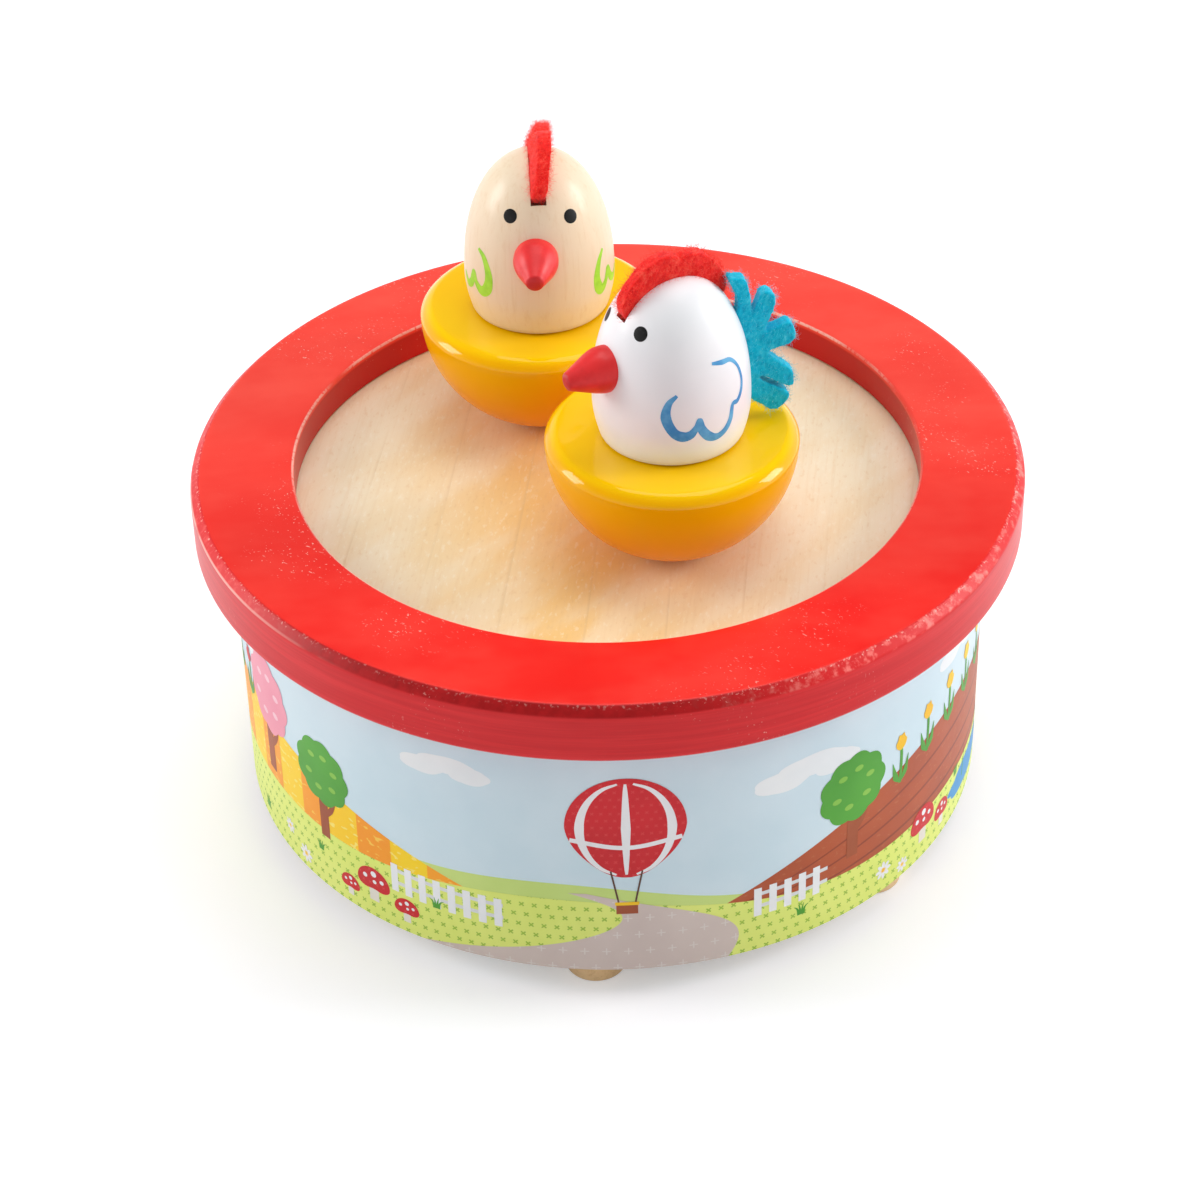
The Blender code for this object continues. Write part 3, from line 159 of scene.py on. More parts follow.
class Finish:
    """A material with one Principled shader. Fixed values are set on the shader's own sockets."""

    def __init__(self, name, fixed=None):
        self.material = bpy.data.materials.new(name)
        self.material.use_nodes = True
        self.tree = self.material.node_tree
        self.shader = self.tree.nodes["Principled BSDF"]
        self.set(fixed or {})

    def feed(self, socket, value):
        if isinstance(value, Value):
            self.tree.links.new(value.socket, socket)
        else:
            socket.default_value = value

    def set(self, inputs):
        for name, value in inputs.items():
            self.feed(self.shader.inputs[name], value)

    def node(self, kind, settings=None, inputs=None, output=0):
        """Adds a node, sets its settings, then its inputs, and gives one of its outputs."""
        made = self.tree.nodes.new(kind)
        for name, value in (settings or {}).items():
            if name == "stops":
                for place, colour in value[2:]:
                    made.color_ramp.elements.new(place).color = colour
                for element, (place, colour) in zip(made.color_ramp.elements, sorted(value)):
                    element.position = place
                    element.color = colour
            else:
                setattr(made, name, value)
        for name, value in (inputs or {}).items():
            self.feed(made.inputs[name], value)
        return Value(self, made.outputs[output])

    def where(self, scale=(1, 1, 1), turn=(0, 0, 0), shift=(0, 0, 0)):
        """The place on the object, in metres times a scale, so a pattern stays put when the object moves."""
        place = self.node("ShaderNodeTexCoord", output="Object")
        sizes = tuple(1 / share for share in scale)
        inputs = {"Vector": place, "Location": shift, "Rotation": turn, "Scale": sizes}
        return self.node("ShaderNodeMapping", {"vector_type": "TEXTURE"}, inputs)

    def place(self):
        """The place on the object as three numbers, in metres."""
        place = self.node("ShaderNodeTexCoord", output="Object")
        return [self.node("ShaderNodeSeparateXYZ", None, {0: place}, axis) for axis in range(3)]

    def across(self):
        """The two coordinates of the piece's own map, in metres."""
        place = self.node("ShaderNodeUVMap", {"uv_map": "map"})
        return [self.node("ShaderNodeSeparateXYZ", None, {0: place}, axis) for axis in (0, 1)]

    def noise(self, scale, detail=2.0, roughness=0.5, place=None):
        inputs = {"Vector": place or self.where(), "Scale": scale, "Detail": detail, "Roughness": roughness}
        return self.node("ShaderNodeTexNoise", None, inputs)

    def cells(self, scale, place=None, output="Distance", randomness=1.0):
        inputs = {"Vector": place or self.where(), "Scale": scale, "Randomness": randomness}
        return self.node("ShaderNodeTexVoronoi", None, inputs, output)

    def mix(self, share, first, second, blend="MIX"):
        """The first colour where the share is 0, the second where it is 1."""
        settings = {"data_type": "RGBA", "blend_type": blend}
        return self.node("ShaderNodeMix", settings, {0: share, 6: first, 7: second}, 2)

    def bump(self, height, depth, strength=1.0):
        """Tilts the surface as if it stood out by the height times the depth."""
        inputs = {"Strength": strength, "Distance": depth, "Height": height}
        self.set({"Normal": self.node("ShaderNodeBump", None, inputs)})


print("shader helpers ready")

# %% [markdown]
# ## Surfaces from grids
# Nearly everything on a turned toy is a grid: a profile carried round an axis, or a patch of ink on a drum. The
# points come from numpy as whole arrays, and the faces of a grid follow from its number of rows and columns.

# %% Grids, turned forms and pieces
SIDES = 192
SHARP = math.radians(38)
WELD = 0.0005 * MM


def grid(points, wrap_rows=False, wrap_columns=False, places=None):
    """Points, four-sided faces and map coordinates of a grid. A face joins a point, the next one along its row,
    and the two above them, so rows that run up the outside make faces that look outwards."""
    rows, columns = points.shape[:2]
    r = np.arange(rows if wrap_rows else rows - 1)[:, None]
    c = np.arange(columns if wrap_columns else columns - 1)[None, :]
    steps = ((0, 0), (0, 1), (1, 1), (1, 0))
    faces = np.stack([(r + i) % rows * columns + (c + j) % columns for i, j in steps], -1).reshape(-1, 4)
    if places is None:
        places = np.zeros((rows + 1, columns + 1, 2))
    width = places.shape[1]
    corners = np.stack([(r + i) * width + (c + j) for i, j in steps], -1).reshape(-1)
    return points.reshape(-1, 3), faces, places.reshape(-1, 2)[corners]


def join(grids):
    """Several grids as one."""
    starts = np.cumsum([0] + [len(points) for points, _, _ in grids[:-1]])
    faces = [faces + start for (_, faces, _), start in zip(grids, starts)]
    return np.vstack([g[0] for g in grids]), np.vstack(faces), np.vstack([g[2] for g in grids])


def mesh_from(name, points, faces, places):
    """A smooth mesh with its doubled points welded, which also closes poles and seams."""
    mesh = bpy.data.meshes.new(name)
    mesh.from_pydata(points, [], faces)
    mesh.uv_layers.new(name="map").data.foreach_set("uv", places.astype(np.float32).ravel())
    shape = bmesh.new()
    shape.from_mesh(mesh)
    bmesh.ops.remove_doubles(shape, verts=shape.verts, dist=WELD)
    shape.to_mesh(mesh)
    shape.free()
    mesh.shade_smooth()
    mesh.set_sharp_from_angle(angle=SHARP)
    return mesh


def show(name, mesh, finish, body, stands_for=()):
    """Puts a mesh in the scene as a piece that rides on a body and may stand for CAD nodes."""
    mesh.name = name
    if not mesh.materials:
        mesh.materials.append(finish.material)
    made = bpy.data.objects.new(name, mesh)
    bpy.context.scene.collection.objects.link(made)
    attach(made, body)
    if stands_for:
        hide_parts(*stands_for)
    print(name, len(mesh.polygons), "faces on", body)
    return made


def arc(centre, radius, start, end, steps=8):
    """Points on a circle in the plane of radius and height."""
    turn = np.radians(np.linspace(start, end, steps + 1))
    return np.stack([centre[0] + radius * np.cos(turn), centre[1] + radius * np.sin(turn)], -1)


def fill(outline, step):
    """The same outline with extra points, so that no straight run is longer than the step."""
    lengths = np.linalg.norm(np.diff(outline, axis=0), axis=1)
    counts = np.maximum(np.ceil(lengths / step).astype(int), 1)
    runs = [np.linspace(a, b, n, endpoint=False) for a, b, n in zip(outline[:-1], outline[1:], counts)]
    return np.vstack(runs + [outline[-1:]])


def turned(profile, centre=(0.0, 0.0), closed=False, sides=SIDES):
    """A profile of radius and height, from the bottom up its outside, carried round a vertical axis."""
    if closed:
        profile = profile[:-1]
    turn = np.linspace(0, 2 * np.pi, sides, endpoint=False) + np.pi / 2
    radius = np.maximum(profile[:, 0], 0)[:, None]
    height = np.broadcast_to(profile[:, 1][:, None], (len(profile), sides))
    points = np.stack([centre[0] + radius * np.cos(turn), centre[1] + radius * np.sin(turn), height], -1)
    return grid(points, closed, True)


def smooth_line(points, steps=12, closed=False):
    """A curve through the points. Between two of them it leans on both neighbours, as a Catmull-Rom spline does."""
    points = np.asarray(points, float)
    if closed:
        around = np.vstack([points[-1:], points, points[:2]])
    else:
        around = np.vstack([2 * points[0] - points[1], points, 2 * points[-1] - points[-2]])
    before, start, end, after = (around[i:len(around) - 3 + i, None] for i in range(4))
    t = np.linspace(0, 1, steps, endpoint=False)[None, :, None]
    line = 0.5 * (2 * start + (end - before) * t + (2 * before - 5 * start + 4 * end - after) * t**2
                  + (3 * start - before - 3 * end + after) * t**3)
    line = line.reshape(-1, points.shape[1])
    return line if closed else np.vstack([line, points[-1:]])


def eased(before, corner, after, size, steps=4):
    """A corner turned into a short curve that starts and ends at the size's distance from it."""
    before, corner, after = (np.asarray(point, float) for point in (before, corner, after))
    start = corner + (before - corner) * size / np.linalg.norm(before - corner)
    end = corner + (after - corner) * size / np.linalg.norm(after - corner)
    t = np.linspace(0, 1, steps + 1)[:, None]
    return (1 - t) ** 2 * start + 2 * t * (1 - t) * corner + t**2 * end


def lowest(node):
    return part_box(node)[0]


def highest(node):
    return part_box(node)[1]


print("grid helpers ready")

# %% [markdown]
# ## Red ring
# The ring is turned from wood and lacquered red. Its outer edge is chamfered and the paint there is rough. On the
# chamfer, painted shade darkens the front and painted highlight mottles it pale towards the sides, with a painted
# highlight line along its lower corner at the left. The top is mixed paler towards the back as painted sheen, the
# hole's wall is painted darker as painted shade, and its edge has a painted highlight line. Dust dried into the coat
# leaves pale specks on the top. The eased corners of the chamfer catch thin highlights, so the profile is rebuilt
# finely with the sizes of the imported ring, and specks and streaks come from the material.

# %% Ring
RING_LIP_ROUNDING = 0.7 * MM
RING_CHAMFER = 1.8 * MM
RING_EASE = 0.45 * MM
RING_FOOT_ROUNDING = 1.0 * MM
PROFILE_STEP = 1.0 * MM

ring_low, ring_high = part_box("top_ring")
stage_low, stage_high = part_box("stage_disc")
ring_radius = ring_high.x
ring_hole = 62.0 * MM
rebate = stage_high.x + 0.3 * MM
shoulder = stage_high.z + 0.3 * MM


def ring_profile():
    """Out under the ring, round its foot, up its side, over the chamfer, in to the hole and down its wall."""
    bottom, top = ring_low.z, ring_high.z
    chamfer = ((ring_radius, top - RING_CHAMFER), (ring_radius - RING_CHAMFER, top))
    foot = arc((ring_radius - RING_FOOT_ROUNDING, bottom + RING_FOOT_ROUNDING), RING_FOOT_ROUNDING, -90, 0)
    edge = np.vstack([eased((ring_radius, bottom), *chamfer, RING_EASE),
                      eased(*chamfer, (ring_hole, top), RING_EASE)])
    lip = arc((ring_hole + RING_LIP_ROUNDING, top - RING_LIP_ROUNDING), RING_LIP_ROUNDING, 90, 180, 6)
    inside = np.array([(ring_hole, shoulder), (rebate, shoulder), (rebate, bottom)])
    return fill(np.vstack([[(rebate, bottom)], foot, edge, lip, inside]), PROFILE_STEP)


def ring_paint():
    """Red lacquer: side streaks, top specks, and painted shade, sheen and highlights round its chamfer, top and hole.
    """
    red = Finish("ring_paint", {"Specular IOR Level": 0.28})
    x, y, height = red.place()
    cloudy = red.noise(26, 3).fade(0.3, 0.7)
    colour = red.mix(cloudy, srgb(244, 30, 20), srgb(236, 12, 6))
    # Painted sheen: the top is mixed paler towards the back and in soft patches, for the reflection the lacquer shows.
    overlay = y.fade(-62 * MM, 30 * MM) * 0.42 + red.noise(40, 3, 0.6, red.where((1, 1.6, 1))).fade(0.3, 0.75) * 0.28
    colour = red.mix(overlay, colour, srgb(255, 92, 76))
    reach = (x * x + y * y) ** 0.5
    # Painted shade: the wall of the hole is mixed darker below the top.
    wall = (1 - reach.fade(ring_hole + 0.3 * MM, ring_hole + 0.6 * MM)) * (
        1 - height.fade(ring_high.z - 1.4 * MM, ring_high.z - 0.6 * MM))
    colour = red.mix(wall, colour, srgb(198, 10, 6))
    side = reach.fade(ring_radius - RING_CHAMFER - 0.2 * MM, ring_radius - RING_CHAMFER + 0.2 * MM)
    streak = red.noise(1, 4, 0.6, red.where((26, 26, 900)))
    colour = red.mix(side, colour, red.mix(streak.fade(0.35, 0.75), srgb(212, 18, 26), srgb(230, 38, 42)))
    chamfer = side * height.fade(ring_high.z - RING_CHAMFER - 0.25 * MM, ring_high.z - RING_CHAMFER + 0.25 * MM)
    ragged = red.noise(500, 4, 0.6)
    # Painted shade darkens the chamfer at the front; painted highlight mottles it pale towards the sides, less at the
    # left.
    front = ((y * -0.97 - x * 0.24) / reach).fade(0.68, 0.95)
    left = (x * -1 / reach).fade(0.1, 0.7)
    pale = ragged.fade(0.46, 0.68) * (1 - left * 0.7)
    edge = red.mix(front, red.mix(pale, srgb(228, 34, 36), srgb(252, 124, 116)), srgb(160, 0, 4))
    colour = red.mix(chamfer * (0.7 + 0.3 * ragged.fade(0.3, 0.7)), colour, edge)
    patches = red.noise(34, 3, 0.6).fade(0.5, 0.66)
    dots = red.noise(2100, 1).fade(0.7, 0.77) * patches
    scratches = red.noise(1, 2, 0.5, red.where((2400, 620, 620), (0, 0, 0.9))).fade(0.68, 0.75) * patches
    # Painted highlight: a ragged pale line along the edge of the hole.
    lip = 1 - reach.fade(ring_hole + 0.3 * MM, ring_hole + 0.55 * MM)
    lip = lip * height.fade(ring_high.z - 0.6 * MM, ring_high.z - 0.35 * MM)
    pale_marks = lip * red.noise(24, 2).fade(0.38, 0.52) * red.noise(1500, 2).fade(0.25, 0.5)
    upper = chamfer * height.fade(ring_high.z - 0.9 * MM, ring_high.z - 0.3 * MM)
    crumbs = red.noise(1700, 2).fade(0.56, 0.7) * upper * (1.6 - front)
    # Painted highlight: a pale line along the chamfer's lower corner at the left, away from the front.
    painted_edge_highlight = side * left * (1 - front) * red.noise(120, 3).fade(0.3, 0.5) * (
        height.fade(ring_high.z - RING_CHAMFER - 0.3 * MM, ring_high.z - RING_CHAMFER) * (
            1 - height.fade(ring_high.z - RING_CHAMFER + 0.1 * MM, ring_high.z - RING_CHAMFER + 0.4 * MM)))
    # Real pale specks, scratches and crumbs in the coat, together with the painted highlight lines of the lip and the
    # chamfer.
    dust_and_painted_highlights = (dots * 0.75 + scratches * 0.65 + crumbs * 0.45 + pale_marks * 0.85 + painted_edge_highlight * 0.75).math("MINIMUM", 1.0)
    colour = red.mix(dust_and_painted_highlights, colour, srgb(255, 202, 190))
    red.set({"Base Color": colour, "Roughness": 0.27 + 0.1 * red.noise(60, 3) + 0.12 * chamfer})
    relief = red.noise(90, 4) * 0.6 + red.noise(800, 3) * 0.16 + dust_and_painted_highlights * 0.3 + chamfer * ragged * 0.7
    red.bump(relief + streak * side * 0.5, 0.12 * MM, 0.6)
    return red


RING_PAINT = ring_paint()
show("ring", mesh_from("ring", *turned(ring_profile(), closed=True, sides=256)), RING_PAINT, "root",
     ["top_ring"])

# %% [markdown]
# ## Stage
# The dancers turn on a disc of pale wood under a clear lacquer. Its grain runs away from the viewer: a few thin dark
# lines where a year's growth ends, fine fibres between them, and tiny flecks. A stretched noise gives the fibres, and
# the lines are worked out from the distance across the grain, bent a little by a slow noise.

# %% Stage and the other pale wood
GRAIN_TILT = math.radians(-7)
YEAR_WIDTH = 15.5 * MM


def grained(finish, along, across, colours, turn=(0, 0, 0), depth=0.02 * MM, figure=22.0):
    """Wood: a broad figure, thin lines along the grain and short dark pores, mixed from three colours."""
    broad = finish.noise(figure, 3, 0.5, finish.where((1.6, 0.45, 1.6), turn))
    thin = finish.noise(1, 4, 0.65, finish.where((across, along, across), turn))
    pores = finish.noise(1, 1, 0.5, finish.where((across * 2.2, along * 6, across * 2.2), turn))
    colour = finish.mix(broad.fade(0.36, 0.66), colours[0], colours[1])
    colour = finish.mix(thin.fade(0.48, 0.8) * 0.55, colour, colours[2])
    colour = finish.mix(pores.fade(0.66, 0.78) * 0.35, colour, colours[2])
    finish.set({"Base Color": colour, "Roughness": 0.36 + 0.18 * thin})
    finish.bump(thin + pores * 0.5, depth, 0.35)
    return finish


def wood(name, colours, along=34, across=1500, turn=(0, 0, 0), fixed=None, depth=0.02 * MM):
    return grained(Finish(name, fixed), along, across, colours, turn, depth)


def disc_profile(radius, low, high, rounding=0.3 * MM):
    """From the middle of the underside, out, round both edges and back to the middle of the top."""
    foot = arc((radius - rounding, low + rounding), rounding, -90, 0, 4)
    edge = arc((radius - rounding, high - rounding), rounding, 0, 90, 4)
    return fill(np.vstack([[(0, low)], foot, edge, [(0, high)]]), 4 * MM)


def stage_wood():
    plank = Finish("stage_wood", {"Coat Weight": 0.12, "Coat Roughness": 0.3})
    x, y, _ = plank.place()
    slow = plank.noise(9, 2, 0.5, plank.where((1, 0.35, 1)))
    across = x * math.cos(GRAIN_TILT) + y * math.sin(GRAIN_TILT) + (slow - 0.5) * 1.1 * YEAR_WIDTH
    year = (across / YEAR_WIDTH).math("FRACT")
    line = year.fade(0.945, 0.985) * (1 - year.fade(0.985, 1.0))
    turn = (0, 0, GRAIN_TILT)
    fibre = plank.noise(1, 4, 0.6, plank.where((1300, 40, 1300), turn))
    fleck = plank.noise(1, 2, 0.6, plank.where((1250, 480, 1250), turn))
    flame = plank.noise(1, 3, 0.55, plank.where((90, 26, 90), (0, 0, 5 * GRAIN_TILT))).fade(0.38, 0.68)
    broad = plank.noise(16, 3, 0.5, plank.where((1.4, 0.5, 1.4), turn)).fade(0.3, 0.7)
    colour = plank.mix(broad, srgb(248, 238, 212), srgb(244, 230, 198))
    # Painted light: a warm golden band across the middle stands for the yellow light that the half balls throw on the
    # stage.
    painted_bounce = 1 - ((x + 6 * MM).math("ABSOLUTE") + (slow - 0.5) * 50 * MM).fade(4 * MM, 44 * MM)
    colour = plank.mix(painted_bounce * (0.45 + 0.55 * flame), colour, srgb(240, 203, 128))
    colour = plank.mix(flame * 0.28, colour, srgb(240, 204, 140))
    colour = plank.mix(line * plank.noise(30, 2).fade(0.35, 0.6) * 0.3, colour, srgb(214, 186, 138))
    colour = plank.mix(fibre.fade(0.45, 0.8) * 0.25, colour, srgb(228, 196, 146))
    colour = plank.mix(fleck.fade(0.57, 0.72) * 0.3, colour, srgb(255, 250, 232))
    colour = plank.mix((1 - fleck).fade(0.58, 0.72) * 0.25, colour, srgb(224, 188, 134))
    plank.set({"Base Color": colour, "Roughness": 0.36 + 0.16 * fibre})
    plank.bump(fibre + fleck * 0.8 - line * 0.5, 0.03 * MM, 0.45)
    return plank


STAGE_WOOD = stage_wood()
stage = mesh_from("stage", *turned(disc_profile(stage_high.x, stage_low.z, stage_high.z)))
show("stage", stage, STAGE_WOOD, "root", ["stage_disc"])

# %% [markdown]
# ## Feet and base
# Four turned feet are glued under the base. Each is a small disc with a rounded foot, so the turned form serves.

# %% Feet
FOOT_WOOD = wood("foot_wood", (srgb(240, 206, 156), srgb(226, 186, 132), srgb(190, 146, 94)), 60, 900)
for number in range(1, 5):
    low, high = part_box(f"foot_{number}")
    profile = disc_profile((high.x - low.x) / 2, low.z, high.z, 0.8 * MM)
    foot = mesh_from(f"foot_{number}_fine", *turned(profile, ((low.x + high.x) / 2, (low.y + high.y) / 2), sides=64))
    show(f"foot_{number}_fine", foot, FOOT_WOOD, "root", [f"foot_{number}"])

# %% [markdown]
# ## Printed paper
# A strip of printed paper is glued round the drum and meets at the back. The strip is a thin closed band, and each
# ink is a patch of surface that lies a hair above it. Patches keep crisp edges that a texture would blur, and each
# ink can have its own pattern of small marks.

# %% Paper strip
SEAM_TURN = math.radians(92)
SEAM_GAP = 0.4 * MM
INK_STEP = 0.009 * MM
PAPER_STEPS = 480

wrap_low, wrap_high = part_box("paper_wrap")
wrap_radius = wrap_high.x
wrap_thickness = 0.25 * MM


def on_drum(places, lift):
    """Places on the print, as arc length to the right of the front and height, as points round the drum."""
    turn = places[..., 0] / wrap_radius - np.pi / 2
    radius = wrap_radius + lift
    return np.stack([radius * np.cos(turn), radius * np.sin(turn), places[..., 1]], -1)


def paper_strip():
    """A flat ring with a gap at the back: four edges carried along an arc, closed at both ends."""
    half = np.pi - SEAM_GAP / wrap_radius / 2
    turn = np.linspace(-half, half, PAPER_STEPS) + SEAM_TURN - np.pi
    radius = np.array([0, 0, 1, 1, 1, 0, 0])[:, None] * wrap_thickness + wrap_radius - wrap_thickness
    height = np.array([0.5, 0, 0, 0.5, 1, 1, 0.5])[:, None] * (wrap_high.z - wrap_low.z) + wrap_low.z
    height = np.broadcast_to(height, (7, PAPER_STEPS))
    points = np.stack([radius * np.cos(turn), radius * np.sin(turn), height], -1)
    places = np.stack(np.broadcast_arrays((turn + np.pi / 2) * wrap_radius, height), -1)
    ends = [grid(points[[[1, 2], [5, 4]], i]) for i in (0, -1)]
    ends[1] = (ends[1][0], ends[1][1][:, ::-1], ends[1][2])
    return join([grid(points, places=places)] + ends)


def paper(name, colour, shade, gloss=0.42):
    """Printed paper: one ink with the slight unevenness of the press, under a thin satin film."""
    finish = Finish(name, {"Coat Weight": 0.15, "Coat Roughness": 0.3, "Specular IOR Level": 0.3})
    uneven = finish.noise(60, 4).fade(0.3, 0.7)
    finish.set({"Base Color": finish.mix(uneven, colour, shade), "Roughness": gloss + 0.08 * finish.noise(900)})
    finish.bump(finish.noise(1400, 3), 0.01 * MM, 0.3)
    return finish


def marked(finish, mask, colour, strength):
    """Prints marks of one colour over what the finish has so far."""
    under = Value(finish, finish.shader.inputs["Base Color"].links[0].from_socket)
    finish.set({"Base Color": finish.mix(mask * strength, under, colour)})
    return finish


SKY = paper("sky_ink", srgb(214, 233, 242), srgb(206, 228, 238))
strip = mesh_from("paper", *paper_strip())
show("paper", strip, SKY, "root", ["paper_wrap"])

# %% [markdown]
# ## Patches of ink
# Three kinds of patch draw the whole print. A band fills the space between two lines over a stretch of the drum, a
# blob is a round form whose edge depends on the angle, and a stroke is a line with a width. All are grids in two
# coordinates, arc length and height in millimetres, and are rolled round the drum afterwards.

# %% Patches
PATCH_STEP = 1.5
inks = {}


def ink(name, patch):
    inks.setdefault(name, []).append(patch * MM)


def level(value, s):
    return value(s) if callable(value) else np.full_like(s, value, dtype=float)


def band(start, end, low, high, rows=3):
    """Between two heights, each a number or a function of the arc length."""
    s = np.linspace(start, end, max(int((end - start) / PATCH_STEP), 1) + 1)
    share = np.linspace(0, 1, rows + 1)[:, None]
    height = level(low, s) + (level(high, s) - level(low, s)) * share
    return np.stack([np.broadcast_to(s, height.shape), height], -1)


def blob(centre, size, reach=1.0, sides=36, rings=3, lean=0.0):
    """Round a centre: the edge lies at the half width and half height times a function of the angle."""
    turn = np.linspace(0, 2 * np.pi, sides + 1)
    edge = np.stack([size[0] * np.cos(turn), size[1] * np.sin(turn)], -1) * level(reach, turn)[:, None]
    rings = max(rings, int(max(size) / PATCH_STEP))
    patch = np.linspace(1, 0, rings + 1)[:, None, None] * edge
    slant = np.array([[math.cos(lean), math.sin(lean)], [-math.sin(lean), math.cos(lean)]])
    return np.asarray(centre) + patch @ slant


def stroke(points, width, steps=8, smooth=True):
    """Along a line, with a width that may change evenly from its start to its end or follow a list."""
    line = smooth_line(points, steps) if smooth else fill(np.asarray(points, float), PATCH_STEP)
    along = np.gradient(line, axis=0)
    along /= np.linalg.norm(along, axis=1)[:, None]
    side = np.stack([-along[:, 1], along[:, 0]], -1)
    widths = np.atleast_1d(width)
    half = np.interp(np.linspace(0, 1, len(line)), np.linspace(0, 1, len(widths)), widths)[:, None] / 2
    return line + np.array([-1, 0, 1])[:, None, None] * half * side


def lobed(count, depth, phase=0.0):
    """An edge with rounded lobes, such as a crown of leaves or a cloud."""
    return lambda turn: 1 - depth + depth * np.abs(np.cos(count * (turn - phase) / 2))


print("patch helpers ready")

# %% [markdown]
# ## Land and sky of the print
# The ground is made of overlapping bands: far hills, a field in yellow and orange stripes, a brown field, grass and
# a pale path. Each edge is a sum of a few waves that fit a whole number of times round the drum, so the print has no
# jump where the strip meets.

# %% Land
PRINT_LOW = wrap_low.z / MM
HALF_ROUND = math.pi * wrap_radius / MM


def waves(base, *parts):
    """A height that swings round a base: each part is a count of waves round the drum, a swing and a shift."""
    return lambda s: base + sum(swing * np.cos(count * s * MM / wrap_radius + shift)
                                for count, swing, shift in parts)


def hill(left, right, top, base, peak=0.5):
    """A rise from the base at the left, up to the top and down to the base at the right."""
    def height(s):
        share = np.clip((s - left) / (right - left), 0, 1)
        warped = share ** (math.log(0.5) / math.log(peak))
        return base + (top - base) * np.sin(np.pi * warped) ** 0.8
    return height


GRASS_TOP = waves(19.5, (2, 3.2, 0.9), (5, 1.3, 0.4))
STRIPED_FIELD = hill(-176, -8, 38, 12, 0.42)
BROWN_FIELD = hill(6, 168, 39, 12, 0.55)
STRIPE_WIDTH = 8.4

ink("far_green", band(-HALF_ROUND, HALF_ROUND, 15, waves(24, (3, 3.4, 1.2), (7, 1.2, 0.3))))
ink("field_yellow", band(-176, -8, 12, STRIPED_FIELD))
for start in np.arange(-172, -14, 2 * STRIPE_WIDTH):
    ink("field_orange", band(start, start + STRIPE_WIDTH, 12, STRIPED_FIELD, 6))
ink("earth_brown", band(6, 168, 12, BROWN_FIELD, 6))
for share in (0.72, 0.5, 0.3):
    furrow = np.array([(s, 12 + (BROWN_FIELD(np.array(float(s))) - 12) * share) for s in range(14, 162, 6)])
    ink("furrow_brown", stroke(furrow, [0.2, 0.75, 0.2], 4))
ink("grass_lime", band(-HALF_ROUND, HALF_ROUND, PRINT_LOW, GRASS_TOP, 6))


def path_across(height):
    """The path's left and right edges at a height: wide in front, swinging right and narrowing up the land."""
    share = np.clip((height - PRINT_LOW) / (26 - PRINT_LOW), 0, 1)
    middle = -9 + 26 * np.sin(share * 2.3) - 21 * share**2
    half = 29 * (1 - share) ** 1.6 + 1.6
    return middle - half, middle + half


def path_patch():
    """A grid whose rows are heights and whose columns run from the left edge to the right one."""
    height = np.linspace(PRINT_LOW, 25.2, 90)[:, None]
    left, right = path_across(height)
    s = left + (right - left) * np.linspace(0, 1, 61)
    return np.stack([s, np.broadcast_to(height, s.shape)], -1)


ink("path_grey", path_patch())
ink("pond_blue", blob((97, 12.5), (15, 3.6), lobed(7, 0.12, 0.3), 60))
ink("pond_blue", blob((-205, 12), (17, 3.4), lobed(5, 0.12, 1), 60))
for s, z, size in ((-97, 49, 9), (-33, 51, 8), (38, 46.5, 10), (84, 51, 8), (140, 47, 11), (-150, 46, 10),
                   (198, 50, 9), (-212, 51, 8)):
    for shift, rise, width in ((-0.55, -0.05, 0.62), (0.1, 0.12, 0.8), (0.68, -0.06, 0.55)):
        ink("cloud_white", blob((s + shift * size, z + rise * size), (width * size, 0.26 * size), lobed(5, 0.08)))
print({name: len(patches) for name, patches in inks.items()})

# %% [markdown]
# ## Motifs of the print
# Trees, toadstools, tulips, daisies, a picket fence and hot-air balloons fill the land. Each motif is a short
# function of its place and size, and lists of places set them out round the whole drum.

# %% Motifs
def round_tree(s, z, size, crown):
    ink("bark_brown", band(s - 0.07 * size, s + 0.07 * size, z, z + 0.62 * size))
    ink("bark_brown", stroke([(s, z + 0.3 * size), (s + 0.12 * size, z + 0.42 * size),
                              (s + 0.2 * size, z + 0.6 * size)], [0.09 * size, 0.04 * size]))
    ink(crown, blob((s, z + 0.86 * size), (0.42 * size, 0.42 * size), lobed(9, 0.09), 72))
    for turn in np.radians((20, 75, 130, 200, 255, 320)):
        spot = (s + 0.22 * size * math.cos(turn), z + (0.86 + 0.22 * math.sin(turn)) * size)
        ink("leaf_light" if crown == "leaf_green" else "petal_pink", blob(spot, (0.055 * size, 0.035 * size), 1, 12, 1))


def toadstool(s, z, size):
    ink("stem_white", band(s - 0.15 * size, s + 0.15 * size, z, z + 0.6 * size))
    ink("cap_crimson", blob((s, z + 0.56 * size), (0.52 * size, 0.5 * size),
                            lambda turn: np.where(np.sin(turn) < 0, 0.36 + 0.64 * np.abs(np.cos(turn)) ** 3, 1), 40))
    for shift, rise, dot in ((-0.26, 0.72, 0.07), (0.02, 0.86, 0.09), (0.27, 0.7, 0.065), (0.04, 0.62, 0.06)):
        ink("trim_white", blob((s + shift * size, z + rise * size), (dot * size, dot * size), 1, 16, 1))


def tulip(s, z, height, head):
    ink("leaf_green", stroke([(s, z), (s + 0.2, z + 0.5 * height), (s, z + 0.82 * height)], 0.07 * height))
    for side in (-1, 1):
        tip = (s + side * 0.2 * height, z + 0.5 * height)
        ink("leaf_green", stroke([(s, z + 0.02 * height), (s + side * 0.12 * height, z + 0.18 * height), tip],
                                 [0.03 * height, 0.13 * height, 0.01 * height]))
    cup = (s, z + 0.86 * height)
    ink(head, blob(cup, (0.14 * height, 0.17 * height),
                   lambda turn: 1 - 0.24 * (np.sin(turn) > 0) * np.abs(np.sin(3 * turn)), 36))


